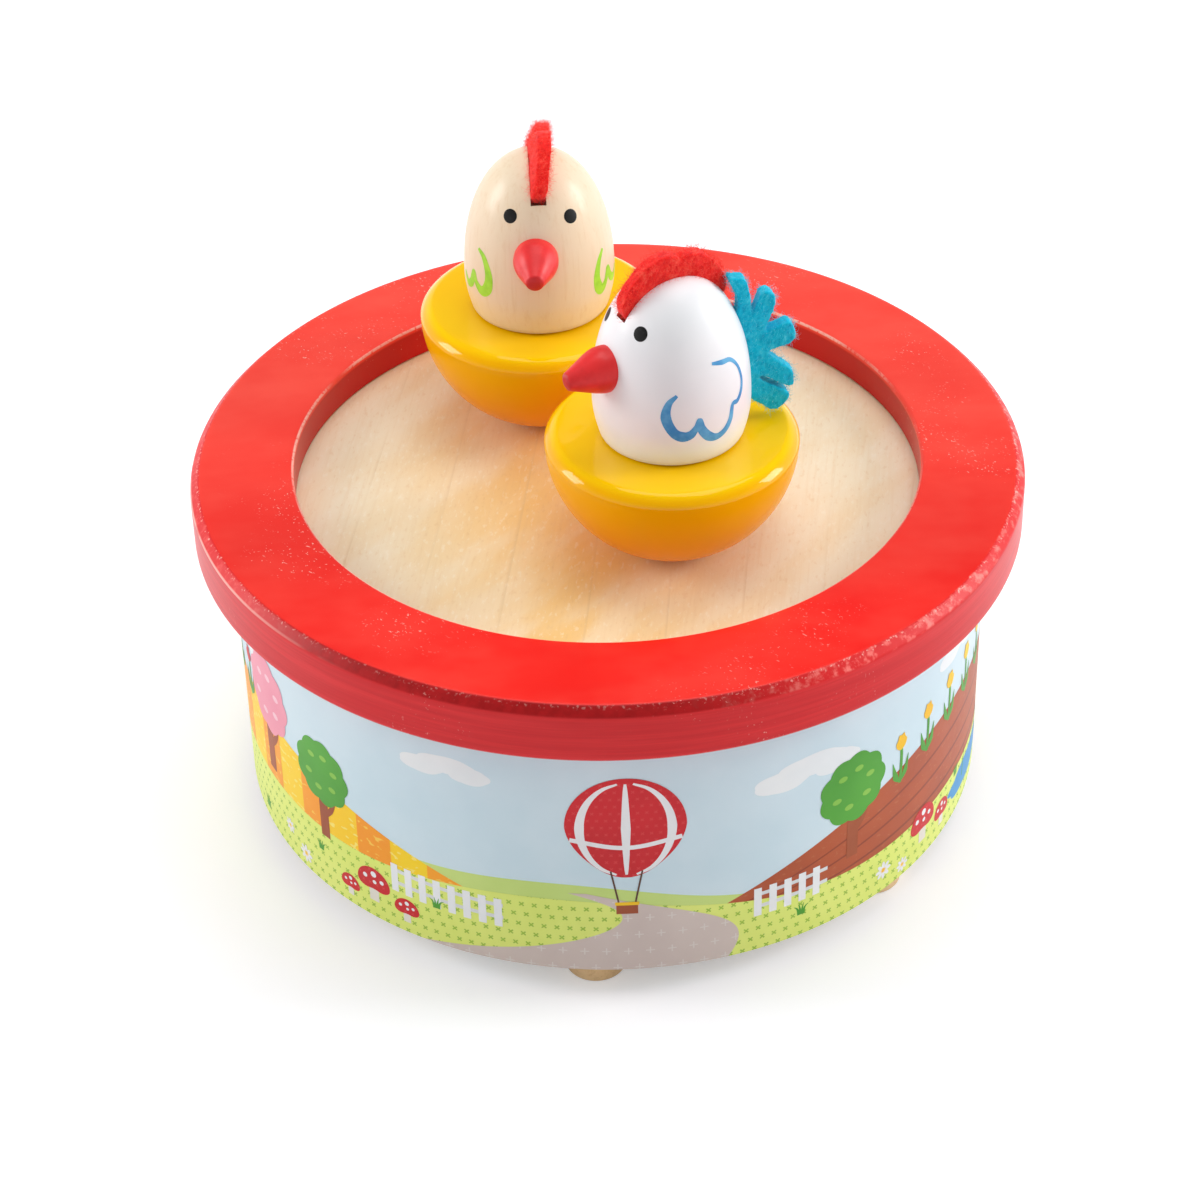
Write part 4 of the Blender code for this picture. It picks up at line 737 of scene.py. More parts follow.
def daisy(s, z, size):
    for turn in np.linspace(0, 2 * np.pi, 8, endpoint=False):
        spot = (s + 0.3 * size * math.cos(turn), z + 0.3 * size * math.sin(turn))
        ink("trim_white", blob(spot, (0.2 * size, 0.1 * size), 1, 14, 1, turn))
    ink("petal_yellow", blob((s, z), (0.16 * size, 0.16 * size), 1, 16, 1))


def grass_tuft(s, z, size):
    for lean in (-0.5, -0.15, 0.2, 0.55):
        tip = (s + lean * size, z + size * (1 - 0.5 * abs(lean)))
        ink("leaf_green", stroke([(s + 0.3 * lean * size, z), (s + 0.5 * lean * size, z + 0.5 * size), tip],
                                 [0.2 * size, 0.13 * size, 0.02 * size], 4))


def picket_fence(start, end, z, height=8.0, pitch=3.2):
    base = z if callable(z) else (lambda s: np.full_like(s, z))
    for share in (0.3, 0.68):
        rail = lambda s, share=share: base(s) + share * height
        ink("fence_white", band(start, end, lambda s: rail(s) - 0.45, lambda s: rail(s) + 0.45, 1))
    for s in np.arange(start + 0.6, end, pitch):
        foot = float(base(np.array(s)))
        top = lambda x, s=s, foot=foot: foot + height - np.abs(x - s) * 1.3
        ink("picket_white", band(s - 0.8, s + 0.8, foot, top, 2))


def air_balloon(s, z, size, skin, stripe):
    """A round envelope that narrows to its mouth, with gores, ropes and a basket."""
    def pear(turn):
        down = np.clip(-np.sin(turn), 0, 1)
        return 1 - 0.12 * down + 0.14 * down**6
    ink(skin, blob((s, z), (0.5 * size, 0.52 * size), pear, 72))
    for place in (-0.36, 0.0, 0.36):
        arch = [(s + place * size * math.cos(t) * 1.05, z + 0.49 * size * math.sin(t) - 0.02 * size)
                for t in np.linspace(-1.35, 1.4, 9)]
        ink(stripe, stroke(arch, [0.02 * size, 0.08 * size, 0.02 * size]))
    skirt = [(s - 0.46 * size, z - 0.13 * size), (s, z - 0.21 * size), (s + 0.46 * size, z - 0.13 * size)]
    ink(stripe, stroke(skirt, 0.045 * size))
    low = z - 0.8 * size
    for side in (-1, 1):
        ink("fine_brown", stroke([(s + side * 0.13 * size, z - 0.46 * size), (s + side * 0.07 * size, low)],
                                 0.35, smooth=False))
    ink("bark_brown", band(s - 0.09 * size, s + 0.09 * size, low - 0.13 * size, low, 2))
    ink("petal_yellow", band(s - 0.1 * size, s + 0.1 * size, low - 0.035 * size, low, 1))


for place in ((-64, 19, 19, "leaf_green"), (-119, 31, 16, "leaf_green"), (-84, 23, 22, "blossom_pink"),
              (49, 20, 20, "leaf_green"), (117, 26, 18, "leaf_green"), (132, 22, 21, "blossom_pink"),
              (-160, 20, 20, "leaf_green"), (-187, 17, 22, "blossom_pink"), (165, 18, 17, "leaf_green"),
              (218, 19, 21, "leaf_green"), (184, 17, 23, "leaf_green")):
    round_tree(*place)
for place in ((-51, 10, 8), (-43, 8.4, 5.6), (-57.5, 8, 5), (71, 10, 8.5), (79, 8.6, 6), (-140, 10, 8), (-132, 8.5, 5.5),
              (200, 9, 8), (150, 8.5, 7)):
    toadstool(*place)
for s in (62, 71, 80, 89, 98, -104, -95, 142, 151):
    field = BROWN_FIELD if s > 0 else STRIPED_FIELD
    tulip(s, float(field(np.array(float(s)))) - 3.5, 12, "petal_yellow" if s > 0 else "cap_crimson")
for place in ((58, 11, 4.4), (64, 8.6, 3.6), (-72, 9.4, 4.4), (-78, 12.6, 3.6), (-112, 10.5, 4.2), (112, 9, 4),
              (122, 12, 3.8), (-168, 9.5, 4.4), (176, 10.5, 4.2), (-222, 11, 4.2), (228, 9.5, 4)):
    daisy(*place)
for place in ((-36, 15, 3), (-90, 8.5, 3.4), (37, 11, 3.2), (86, 16, 3), (-66, 14.5, 2.8), (108, 15, 3.4),
              (-125, 14, 3), (136, 10, 3.2), (-150, 13, 3), (160, 13, 3), (190, 12, 3.2), (-194, 15, 3), (212, 14, 3)):
    grass_tuft(*place)
picket_fence(-46, -22, lambda s: 15.5 - 0.04 * (s + 46))
picket_fence(27, 43, lambda s: 14.4 + 0.02 * (s - 27))
picket_fence(-158, -120, 14.5)
picket_fence(172, 232, 15)
air_balloon(2, 41.5, 23, "cap_crimson", "trim_white")
air_balloon(-140, 49, 13, "pond_blue", "trim_white")
air_balloon(206, 41, 22, "cap_crimson", "trim_white")
for s, z in ((91, 14), (104, 14.5), (107, 13.5), (-196, 14), (-214, 13.5)):
    ink("leaf_green", stroke([(s, z - 2), (s + 0.3, z + 1), (s + 0.8, z + 4)], [0.5, 0.4, 0.1]))
    ink("bark_brown", blob((s + 0.85, z + 4.4), (0.4, 1.1), 1, 12, 1))
print({name: len(patches) for name, patches in inks.items()})

# %% [markdown]
# ## Inks
# The inks are printed from the ground up, each a hair higher than the one before. Grass, path and fields carry small
# crosses and dashes, worked out on the map of arc length and height.

# %% Ink finishes and pieces


def crosses(finish, pitch, arm, width, slanted=False, drift=0.5):
    """Small crosses in rows: a point is on one where it is near the middle of its cell along one direction, and
    within an arm's length along the other. Each row is shifted against the one below."""
    s, z = finish.across()
    row = (z / pitch).math("FLOOR")
    x = (s / pitch + row * drift).math("FRACT") - 0.5
    y = (z / pitch).math("FRACT") - 0.5
    if slanted:
        x, y = (x + y) * math.sqrt(0.5), (x - y) * math.sqrt(0.5)
    x, y = x.math("ABSOLUTE"), y.math("ABSOLUTE")
    near, far = width / pitch, arm / pitch
    flat = y.math("LESS_THAN", near) * x.math("LESS_THAN", far)
    upright = x.math("LESS_THAN", near) * y.math("LESS_THAN", far)
    return flat.math("MAXIMUM", upright)


def flecks(finish, pitch, low, high):
    """Scattered dashes, where a stretched noise rises above a limit."""
    s, z = finish.across()
    place = finish.node("ShaderNodeCombineXYZ", None, {0: s * (0.55 / pitch), 1: z / pitch})
    return finish.noise(1.0, 1, 0.5, place).fade(low, high)


MARK = 0.16 * MM
FINISHES = {
    "cloud_white": paper("cloud_ink", srgb(242, 246, 247), srgb(234, 240, 243)),
    "far_green": paper("far_green_ink", srgb(206, 228, 132), srgb(198, 222, 122)),
    "field_yellow": paper("yellow_ink", srgb(255, 216, 20), srgb(255, 206, 10)),
    "field_orange": paper("orange_ink", srgb(255, 166, 30), srgb(250, 154, 22)),
    "earth_brown": paper("earth_ink", srgb(184, 84, 40), srgb(170, 74, 34)),
    "furrow_brown": paper("furrow_ink", srgb(148, 62, 30), srgb(136, 54, 26)),
    "grass_lime": paper("grass_ink", srgb(232, 243, 128), srgb(224, 238, 116)),
    "path_grey": paper("path_ink", srgb(216, 200, 192), srgb(208, 191, 184)),
    "pond_blue": paper("blue_ink", srgb(60, 156, 216), srgb(48, 142, 206)),
    "bark_brown": paper("bark_ink", srgb(166, 80, 38), srgb(154, 70, 32)),
    "leaf_green": paper("leaf_ink", srgb(82, 168, 48), srgb(70, 154, 40)),
    "leaf_light": paper("leaf_light_ink", srgb(140, 198, 74), srgb(128, 188, 64)),
    "blossom_pink": paper("blossom_ink", srgb(246, 160, 180), srgb(240, 146, 168)),
    "petal_pink": paper("petal_pink_ink", srgb(252, 206, 216), srgb(250, 196, 208)),
    "stem_white": paper("stem_ink", srgb(240, 236, 226), srgb(228, 222, 210)),
    "fence_white": paper("rail_ink", srgb(228, 230, 232), srgb(218, 221, 224)),
    "picket_white": paper("picket_ink", srgb(244, 246, 248), srgb(236, 239, 242)),
    "cap_crimson": paper("crimson_ink", srgb(216, 14, 30), srgb(200, 8, 24)),
    "trim_white": paper("trim_ink", srgb(246, 246, 248), srgb(238, 239, 242)),
    "petal_yellow": paper("petal_ink", srgb(252, 206, 20), srgb(246, 190, 10)),
    "fine_brown": paper("rope_ink", srgb(96, 60, 44), srgb(84, 50, 36)),
}
grass, path = FINISHES["grass_lime"], FINISHES["path_grey"]
marked(grass, crosses(grass, 2.5 * MM, 0.62 * MM, MARK, True, 0.35), srgb(140, 184, 40), 0.85)
marked(path, crosses(path, 4.2 * MM, 0.85 * MM, 0.13 * MM), srgb(226, 218, 212), 0.8)
for name, tone in (("field_yellow", srgb(255, 232, 120)), ("field_orange", srgb(255, 206, 80))):
    marked(FINISHES[name], flecks(FINISHES[name], 1.15 * MM, 0.62, 0.66), tone, 0.9)
marked(FINISHES["earth_brown"], flecks(FINISHES["earth_brown"], 0.9 * MM, 0.64, 0.7), srgb(186, 104, 60), 0.6)
crimson = FINISHES["cap_crimson"]
marked(crimson, crosses(crimson, 1.7 * MM, 0.42 * MM, 0.1 * MM, True), srgb(226, 74, 76), 0.5)

INK_LAYERS = (("cloud_white", "far_green"), ("field_yellow", "earth_brown"), ("field_orange", "furrow_brown"),
              ("grass_lime",), ("path_grey", "pond_blue"), ("bark_brown", "fence_white"),
              ("leaf_green", "blossom_pink", "stem_white", "picket_white"), ("leaf_light", "petal_pink", "cap_crimson"),
              ("trim_white", "petal_yellow"), ("fine_brown",))
layers = {name: number for number, names in enumerate(INK_LAYERS, 1) for name in names}
for name, finish in FINISHES.items():
    lift = INK_STEP * layers[name]
    patches = [grid(on_drum(patch, lift), places=patch) for patch in inks[name]]
    mesh = mesh_from(name, *join(patches))
    show(f"print_{name}", mesh, finish, "root", ["paper_wrap"])

# %% [markdown]
# ## The dancers' places
# Both chickens are built alike in their own plane, with the beak forwards, and are then turned and moved to where the
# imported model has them. The centre comes from the half ball's box and the heading from where the beak points.

# %% Places and forms of the dancers
EGG_RADIUS = 15.05 * MM
EGG_WAIST = 7.5 * MM
EGG_CROWN = 25.9 * MM
EGG_BASE_RADIUS = 13.7 * MM
EGG_FULLNESS = 2.2
PAINT_LIFT = 0.03 * MM
HEN_CROWN_TURN = math.radians(4)


def middle(node):
    low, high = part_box(node)
    return (np.array(low) + np.array(high)) / 2


def farthest(node, centre):
    """From a centre to the node's end that is farthest from it, seen from above."""
    points = np.empty(len(nodes[node].data.vertices) * 3)
    nodes[node].data.vertices.foreach_get("co", points)
    out = points.reshape(-1, 3)[:, :2] - centre
    reach = np.linalg.norm(out, axis=1)
    return out[reach > reach.max() - 0.02 * MM].mean(axis=0)


class Dancer:
    """Where a chicken stands: the centre of its half ball, its heading and the height of its egg's base."""

    def __init__(self, name):
        self.name = name
        self.centre = middle(f"{name}_bowl")[:2]
        ahead = farthest(f"{name}_beak", self.centre)
        behind = self.centre - middle(f"{name}_tail_felt")[:2]
        self.beak_reach = np.linalg.norm(ahead)
        self.heading = math.atan2(ahead[1], ahead[0])
        self.tail_turn = math.atan2(behind[1], behind[0]) - self.heading
        self.base = lowest(f"{name}_egg").z
        self.crown_turn = HEN_CROWN_TURN if name == "hen" else 0.0

    def stand(self, points, turn=0.0):
        """Points in the chicken's own frame, x forwards and z over the egg's base, where it stands."""
        angle = self.heading + turn
        x, y = points[..., 0], points[..., 1]
        return np.stack([self.centre[0] + x * math.cos(angle) - y * math.sin(angle),
                         self.centre[1] + x * math.sin(angle) + y * math.cos(angle),
                         self.base + points[..., 2]], -1)


hen, rooster = Dancer("hen"), Dancer("rooster")
for dancer in (hen, rooster):
    print(dancer.name, np.round(dancer.centre / MM, 2), "heading", round(math.degrees(dancer.heading), 1),
          "tail", round(math.degrees(dancer.tail_turn), 1))


def egg_side(height):
    """The egg's radius at a height: a quarter sine up to the waist and a superellipse above it."""
    below = EGG_BASE_RADIUS + (EGG_RADIUS - EGG_BASE_RADIUS) * np.sin(np.clip(height / EGG_WAIST, 0, 1) * np.pi / 2)
    up = np.clip((height - EGG_WAIST) / EGG_CROWN, 0, 1)
    return np.where(height < EGG_WAIST, below, EGG_RADIUS * (1 - up**EGG_FULLNESS) ** (1 / EGG_FULLNESS))


def egg_reach(turn):
    """How far the egg reaches from the middle of its waist, at an angle above forwards."""
    return ((np.abs(np.cos(turn)) / EGG_RADIUS) ** EGG_FULLNESS
            + (np.abs(np.sin(turn)) / EGG_CROWN) ** EGG_FULLNESS) ** (-1 / EGG_FULLNESS)


def on_egg(turn, height, lift=PAINT_LIFT):
    """Points on the egg at an angle round it from forwards and a height, raised a little."""
    radius = egg_side(height) + lift
    return np.stack([radius * np.cos(turn), radius * np.sin(turn), height], -1)


# %% [markdown]
# ## Half balls
# The half balls are turned and dipped in thick yellow lacquer, so their faces are glossy and the rim is soft. A coat
# over a saturated base gives the white highlights without paling the yellow.

# %% Half balls
BOWL_RADIUS = 24.4 * MM
BOWL_FOOT_RADIUS = 6.2 * MM
BOWL_FACE_RADIUS = 22.0 * MM
BOWL_SHOULDER_DROP = 2.1 * MM
BOWL_SHOULDER_CURVE = 4.2 * MM
BOWL_EASE = 0.35 * MM


def bowl_profile(low, face):
    """Up the ball from its flat foot, over a slightly rounded shoulder and in over the flat face to the middle."""
    middle_height = low + math.sqrt(BOWL_RADIUS**2 - BOWL_FOOT_RADIUS**2)
    meet_height = face - BOWL_SHOULDER_DROP
    meet = (math.sqrt(BOWL_RADIUS**2 - (meet_height - middle_height) ** 2), meet_height)
    foot = math.degrees(math.atan2(low - middle_height, BOWL_FOOT_RADIUS))
    ball = arc((0, middle_height), BOWL_RADIUS, foot, math.degrees(math.atan2(meet[1] - middle_height, meet[0])), 48)
    chord = np.array([BOWL_FACE_RADIUS, face]) - meet
    length = np.linalg.norm(chord)
    inward = np.array([-chord[1], chord[0]]) / length
    centre = meet + chord / 2 + inward * math.sqrt(BOWL_SHOULDER_CURVE**2 - length**2 / 4)
    ends = [math.degrees(math.atan2(*(np.array(point) - centre)[::-1])) for point in (meet, (BOWL_FACE_RADIUS, face))]
    shoulder_line = arc(centre, BOWL_SHOULDER_CURVE, *ends, 10)
    low_ease = eased(ball[-2], meet, shoulder_line[2], BOWL_EASE)
    high_ease = eased(shoulder_line[-3], shoulder_line[-1], (0, face), BOWL_EASE)
    return fill(np.vstack([[(0, low)], ball[:-1], low_ease, shoulder_line[2:-2], high_ease, [(0, face)]]), PROFILE_STEP)


def yellow_lacquer():
    """Yellow lacquer with soft orange-peel waves; painted shade makes the side darker and more orange than the face."""
    yellow = Finish("yellow_lacquer", {"Coat Roughness": 0.04, "Specular IOR Level": 0.1,
                                       "Specular Tint": (1.0, 0.8, 0.12, 1.0)})
    height = yellow.place()[2]
    low, high = lowest("rooster_bowl").z, highest("rooster_bowl").z
    uneven = yellow.noise(45, 2).fade(0.3, 0.7)
    colour = yellow.mix(uneven, srgb(255, 206, 0), srgb(254, 200, 0))
    # Painted shade: the ball's side is mixed darker and more orange than its face, and darker still lower down.
    side = 1 - height.fade(high - 1.2 * MM, high - 0.1 * MM)
    colour = yellow.mix(side * 0.9, colour, srgb(250, 182, 0))
    deep = 1 - height.fade(low + 5 * MM, high - BOWL_SHOULDER_DROP + 0.3 * MM)
    colour = yellow.mix(deep, colour, srgb(246, 154, 0))
    rim = height.fade(high - 4 * MM, high - BOWL_SHOULDER_DROP)
    yellow.set({"Base Color": colour, "Roughness": 0.22 + 0.06 * yellow.noise(30), "Coat Weight": 0.02 + 0.5 * rim})
    yellow.bump(yellow.noise(70, 3) + yellow.noise(500, 2) * 0.06, 0.12 * MM, 0.5)
    return yellow


YELLOW = yellow_lacquer()
for dancer in (hen, rooster):
    low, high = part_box(f"{dancer.name}_bowl")
    profile = bowl_profile(low.z, high.z)
    bowl = mesh_from("bowl", *turned(profile, dancer.centre))
    show(f"{dancer.name}_half_ball", bowl, YELLOW, dancer.name, [f"{dancer.name}_bowl"])

# %% [markdown]
# ## Eggs
# Each body is a turned egg with a sawn slot for the comb and one for the tail. The slot's front end shows as a small
# dark gap in front of the comb, so it is cut for real, and the sawn wood inside takes its own finish.

# %% Eggs
FELT_THICKNESS = 2.8 * MM
FELT_DEPTH = 2.2 * MM
SLOT_SPARE = 0.25 * MM
SLOT_START = {"hen": math.radians(62.4), "rooster": math.radians(61.4)}
SLOT_END = math.radians(119)
COMB_START = {"hen": math.radians(66), "rooster": math.radians(64)}
COMB_END = math.radians(118)
COMB_RISE = 4.7 * MM
TAIL_ROOTS = (0.153, 0.76)
EGG_ROWS = 90


def crest(turn, rise):
    """A point over the egg's crest, in the plane of the beak, at an angle above forwards."""
    reach = egg_reach(turn) + rise
    return np.stack([reach * np.cos(turn), EGG_WAIST + reach * np.sin(turn)], -1)


def plate(name, outline, thickness, dancer, turn=0.0):
    """A flat outline standing in the plane of the beak, with the given thickness."""
    shape = bmesh.new()
    flat = np.stack([outline[:, 0], np.full(len(outline), -thickness / 2), outline[:, 1]], -1)
    face = shape.faces.new([shape.verts.new(p) for p in dancer.stand(flat, turn)])
    made = bmesh.ops.extrude_face_region(shape, geom=[face])["geom"]
    angle = dancer.heading + turn
    push = (-thickness * math.sin(angle), thickness * math.cos(angle), 0)
    bmesh.ops.translate(shape, verts=[v for v in made if isinstance(v, bmesh.types.BMVert)], vec=push)
    bmesh.ops.recalc_face_normals(shape, faces=shape.faces)
    mesh = bpy.data.meshes.new(name)
    shape.to_mesh(mesh)
    shape.free()
    made = bpy.data.objects.new(name, mesh)
    bpy.context.scene.collection.objects.link(made)
    return made


def settled(made, name):
    """The mesh that an object's modifiers give. The object itself is removed."""
    bpy.context.view_layer.update()
    mesh = bpy.data.meshes.new_from_object(made.evaluated_get(bpy.context.evaluated_depsgraph_get()))
    bpy.data.objects.remove(made)
    mesh.name = name
    return mesh


def egg_points(dancer):
    """A flat base with a small rounding, then the side at evenly spread angles up to the crown."""
    turn = np.linspace(0, np.pi / 2, EGG_ROWS)
    reach = egg_reach(turn)
    upper = np.stack([reach * np.cos(turn), EGG_WAIST + reach * np.sin(turn)], -1)
    upper[-1, 0] = 0
    height = np.linspace(0.6 * MM, EGG_WAIST, 14, endpoint=False)
    lower = np.stack([egg_side(height), height], -1)
    rounding = arc((EGG_BASE_RADIUS - 0.5 * MM, 0.6 * MM), 0.6 * MM, -90, -8, 4)
    profile = np.vstack([[(0, 0)], rounding, lower, upper])
    profile[:, 1] += dancer.base
    return turned(profile, dancer.centre)


def slotted_egg(dancer, finish, sawn):
    egg = bpy.data.objects.new("egg", mesh_from("egg", *egg_points(dancer)))
    bpy.context.scene.collection.objects.link(egg)
    egg.data.materials.append(finish.material)
    turns = np.linspace(SLOT_START[dancer.name], SLOT_END, 24)
    comb_slot = np.vstack([crest(turns, 2 * FELT_DEPTH), crest(turns[::-1], -FELT_DEPTH - SLOT_SPARE)])
    tail_top = highest(f"{dancer.name}_tail_felt").z - dancer.base
    height = np.linspace(TAIL_ROOTS[0] * tail_top, TAIL_ROOTS[1] * tail_top, 16)
    inner = np.stack([-(egg_side(height) - FELT_DEPTH - SLOT_SPARE), height], -1)
    outer = np.stack([np.full(16, -EGG_RADIUS - 2 * FELT_DEPTH), height[::-1]], -1)
    cutters = [plate("comb_slot", comb_slot, FELT_THICKNESS + SLOT_SPARE, dancer, dancer.crown_turn),
               plate("tail_slot", np.vstack([inner, outer]), FELT_THICKNESS + SLOT_SPARE, dancer, dancer.tail_turn)]
    for cutter in cutters:
        cutter.data.materials.append(sawn.material)
        step = egg.modifiers.new(cutter.name, "BOOLEAN")
        step.operation = "DIFFERENCE"
        step.material_mode = "TRANSFER"
        step.object = cutter
    mesh = settled(egg, "egg")
    for cutter in cutters:
        bpy.data.objects.remove(cutter)
    mesh.shade_smooth()
    mesh.set_sharp_from_angle(angle=SHARP)
    return mesh


def white_lacquer():
    white = Finish("white_lacquer", {"Coat Weight": 0.3, "Coat Roughness": 0.25})
    grain = white.noise(1, 3, 0.6, white.where((260, 260, 34)))
    colour = white.mix(white.noise(60, 3).fade(0.35, 0.7), srgb(247, 247, 249), srgb(241, 242, 245))
    white.set({"Base Color": colour, "Roughness": 0.36 + 0.1 * grain})
    white.bump(grain * 0.6 + white.noise(220, 3) * 0.4, 0.05 * MM, 0.4)
    return white


SAWN = wood("sawn_wood", (srgb(150, 98, 62), srgb(120, 74, 46), srgb(84, 48, 30)), 60, 700)
UPRIGHT = (math.radians(84), 0, math.radians(10))
HEN_WOOD = wood("hen_wood", (srgb(241, 220, 190), srgb(237, 211, 174), srgb(228, 197, 156)), 44, 950, UPRIGHT,
                {"Coat Weight": 0.25, "Coat Roughness": 0.2}, 0.015 * MM)
WHITE = white_lacquer()
for dancer, finish, slot in ((hen, HEN_WOOD, "clear_wood"), (rooster, WHITE, "white_lacquer")):
    mesh = slotted_egg(dancer, finish, SAWN)
    print([m.name for m in mesh.materials])
    show(f"{dancer.name}_body", mesh, finish, dancer.name, [f"{dancer.name}_egg"])

# %% [markdown]
# ## Beaks
# The beak is a turned peg with bulging sides and a blunt tip, glued into a drilled hole and dipped in red. It points a
# little downwards. A curve through a few radii gives the bulge, and the tip gets a darker dab where paint gathered.

# %% Beaks
BEAK_TILT = math.radians(4)
BEAK_RADIUS = 4.4 * MM
BEAK_SHARES = ((0.0, 0.94), (0.18, 1.0), (0.32, 1.0), (0.48, 0.89), (0.7, 0.66), (0.86, 0.49), (0.94, 0.41))
BEAK_END_SHARES = ((0.965, 0.365), (0.988, 0.25), (1.0, 0.09), (1.0, 0.0))


def beak_grid(dancer):
    """A profile of distance and radius carried round the beak's own axis, which is tilted down from forwards."""
    low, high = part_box(f"{dancer.name}_beak")
    height = (low.z + high.z) / 2 - dancer.base
    seat = float(egg_side(np.array(height))) - 2.5 * MM
    length = dancer.beak_reach - seat
    shares = np.vstack([[(0, 0)], smooth_line(BEAK_SHARES, 8), smooth_line(BEAK_END_SHARES, 4)])
    along = (shares[:, 0] * length)[:, None]
    radius = (shares[:, 1] * BEAK_RADIUS)[:, None]
    turn = np.linspace(0, 2 * np.pi, 64, endpoint=False)
    across, up = radius * np.cos(turn), radius * np.sin(turn)
    forward = along * math.cos(BEAK_TILT) + up * math.sin(BEAK_TILT) + seat
    rise = up * math.cos(BEAK_TILT) - along * math.sin(BEAK_TILT) + height
    places = np.stack(np.broadcast_arrays(shares[:, :1] * np.ones(65), np.linspace(0, 1, 65)), -1)
    return grid(dancer.stand(np.stack([forward, across, rise], -1)), False, True, places)


def beak_paint():
    red = Finish("beak_paint", {"Coat Weight": 0.15, "Coat Roughness": 0.3, "Specular IOR Level": 0.4})
    along, _ = red.across()
    patchy = red.noise(260, 4, 0.6).fade(0.35, 0.7)
    colour = red.mix(patchy, srgb(238, 40, 42), srgb(222, 28, 32))
    dab = (along + 0.05 * red.noise(400)).fade(0.955, 1.0)
    colour = red.mix(dab * 0.7, colour, srgb(184, 16, 22))
    red.set({"Base Color": colour, "Roughness": 0.38 + 0.16 * patchy})
    red.bump(red.noise(300, 4), 0.08 * MM, 0.5)
    return red


BEAK_PAINT = beak_paint()
for dancer in (hen, rooster):
    mesh = mesh_from("beak", *beak_grid(dancer))
    show(f"{dancer.name}_beak_fine", mesh, BEAK_PAINT, dancer.name, [f"{dancer.name}_beak"])

# %% [markdown]
# ## Felt
# Comb and tail are cut from thick wool felt, whose edges are soft and shed fibres. A flat outline is made a block,
# turned into small even faces by a voxel remesh, smoothed and then dented by noise along its normals. Loose fibres
# are thin curved tubes rooted on that surface.

# %% Felt sheets
COMB_SHARES = ((-0.02, 0.12), (0.0, 0.42), (0.06, 0.6), (0.17, 0.78), (0.3, 0.94), (0.42, 1.0), (0.5, 0.88),
               (0.54, 0.76), (0.59, 0.87), (0.69, 0.96), (0.8, 0.85), (0.9, 0.64), (0.97, 0.4), (1.0, 0.14))
TAIL_REACH = 9.6 * MM
TAIL_SHARES = ((0.03, 0.153), (0.34, 0.077), (0.58, 0.038), (0.77, 0.07), (0.81, 0.153), (0.255, 0.262),
               (0.25, 0.295), (0.835, 0.192), (0.89, 0.268), (0.82, 0.32), (0.41, 0.447), (0.58, 0.475),
               (0.84, 0.5), (0.96, 0.53), (1.0, 0.6), (0.93, 0.652), (0.72, 0.636), (0.43, 0.613), (0.57, 0.68),
               (0.76, 0.762), (0.89, 0.83), (0.86, 0.88), (0.7, 0.878), (0.48, 0.81), (0.3, 0.75), (0.46, 0.87),
               (0.69, 0.985), (0.55, 1.0), (0.39, 0.995), (0.2, 0.88), (0.04, 0.77))
FELT_VOXEL = 0.24 * MM
FIBRE_RADIUS = 0.034 * MM


def lattice_noise(points, size, seed):
    """Smooth random values between -1 and 1: random numbers at the corners of cubes, blended inside each cube."""
    table = np.random.default_rng(seed).uniform(-1, 1, 4096)
    place = points / size
    cell = np.floor(place).astype(int)
    share = place - cell
    share = share * share * (3 - 2 * share)
    total = 0
    for i, j, k in np.ndindex(2, 2, 2):
        corner = (cell[:, 0] + i) * 73856093 ^ (cell[:, 1] + j) * 19349663 ^ (cell[:, 2] + k) * 83492791
        weight = [share[:, axis] if step else 1 - share[:, axis] for axis, step in enumerate((i, j, k))]
        total = total + table[corner % 4096] * weight[0] * weight[1] * weight[2]
    return total


def points_of(mesh, what="co"):
    """The points of a mesh, or the direction in which each of them faces, as an array."""
    values = np.empty(len(mesh.vertices) * 3)
    if what == "co":
        mesh.vertices.foreach_get("co", values)
    else:
        mesh.vertex_normals.foreach_get("vector", values)
    return values.reshape(-1, 3)


def felt_mesh(name, outline, dancer, turn, seed, lean=0.0):
    block = plate(name, outline, FELT_THICKNESS, dancer, turn)
    remesh = block.modifiers.new("even", "REMESH")
    remesh.mode = "VOXEL"
    remesh.voxel_size = FELT_VOXEL
    relax = block.modifiers.new("relax", "SMOOTH")
    relax.factor = 0.5
    relax.iterations = 7
    mesh = settled(block, name)
    points, facing = points_of(mesh), points_of(mesh, "normal")
    points += facing * (0.16 * lattice_noise(points, 2.4 * MM, seed) + 0.07 * lattice_noise(points, 0.8 * MM, seed + 1)
                        + 0.05 * lattice_noise(points, 0.36 * MM, seed + 2))[:, None] * MM
    if lean:
        ahead = np.array([math.cos(dancer.heading), math.sin(dancer.heading), 0])
        forward = (points - [*dancer.centre, 0]) @ ahead
        up = points[:, 2] - dancer.base - EGG_WAIST
        over = np.clip((np.hypot(forward, up) - egg_reach(np.arctan2(up, forward))) / COMB_RISE, 0, None)
        points += np.array([-ahead[1], ahead[0], 0]) * (lean * over**1.2)[:, None]
    mesh.vertices.foreach_set("co", points.astype(np.float32).ravel())
    mesh.shade_smooth()
    return mesh


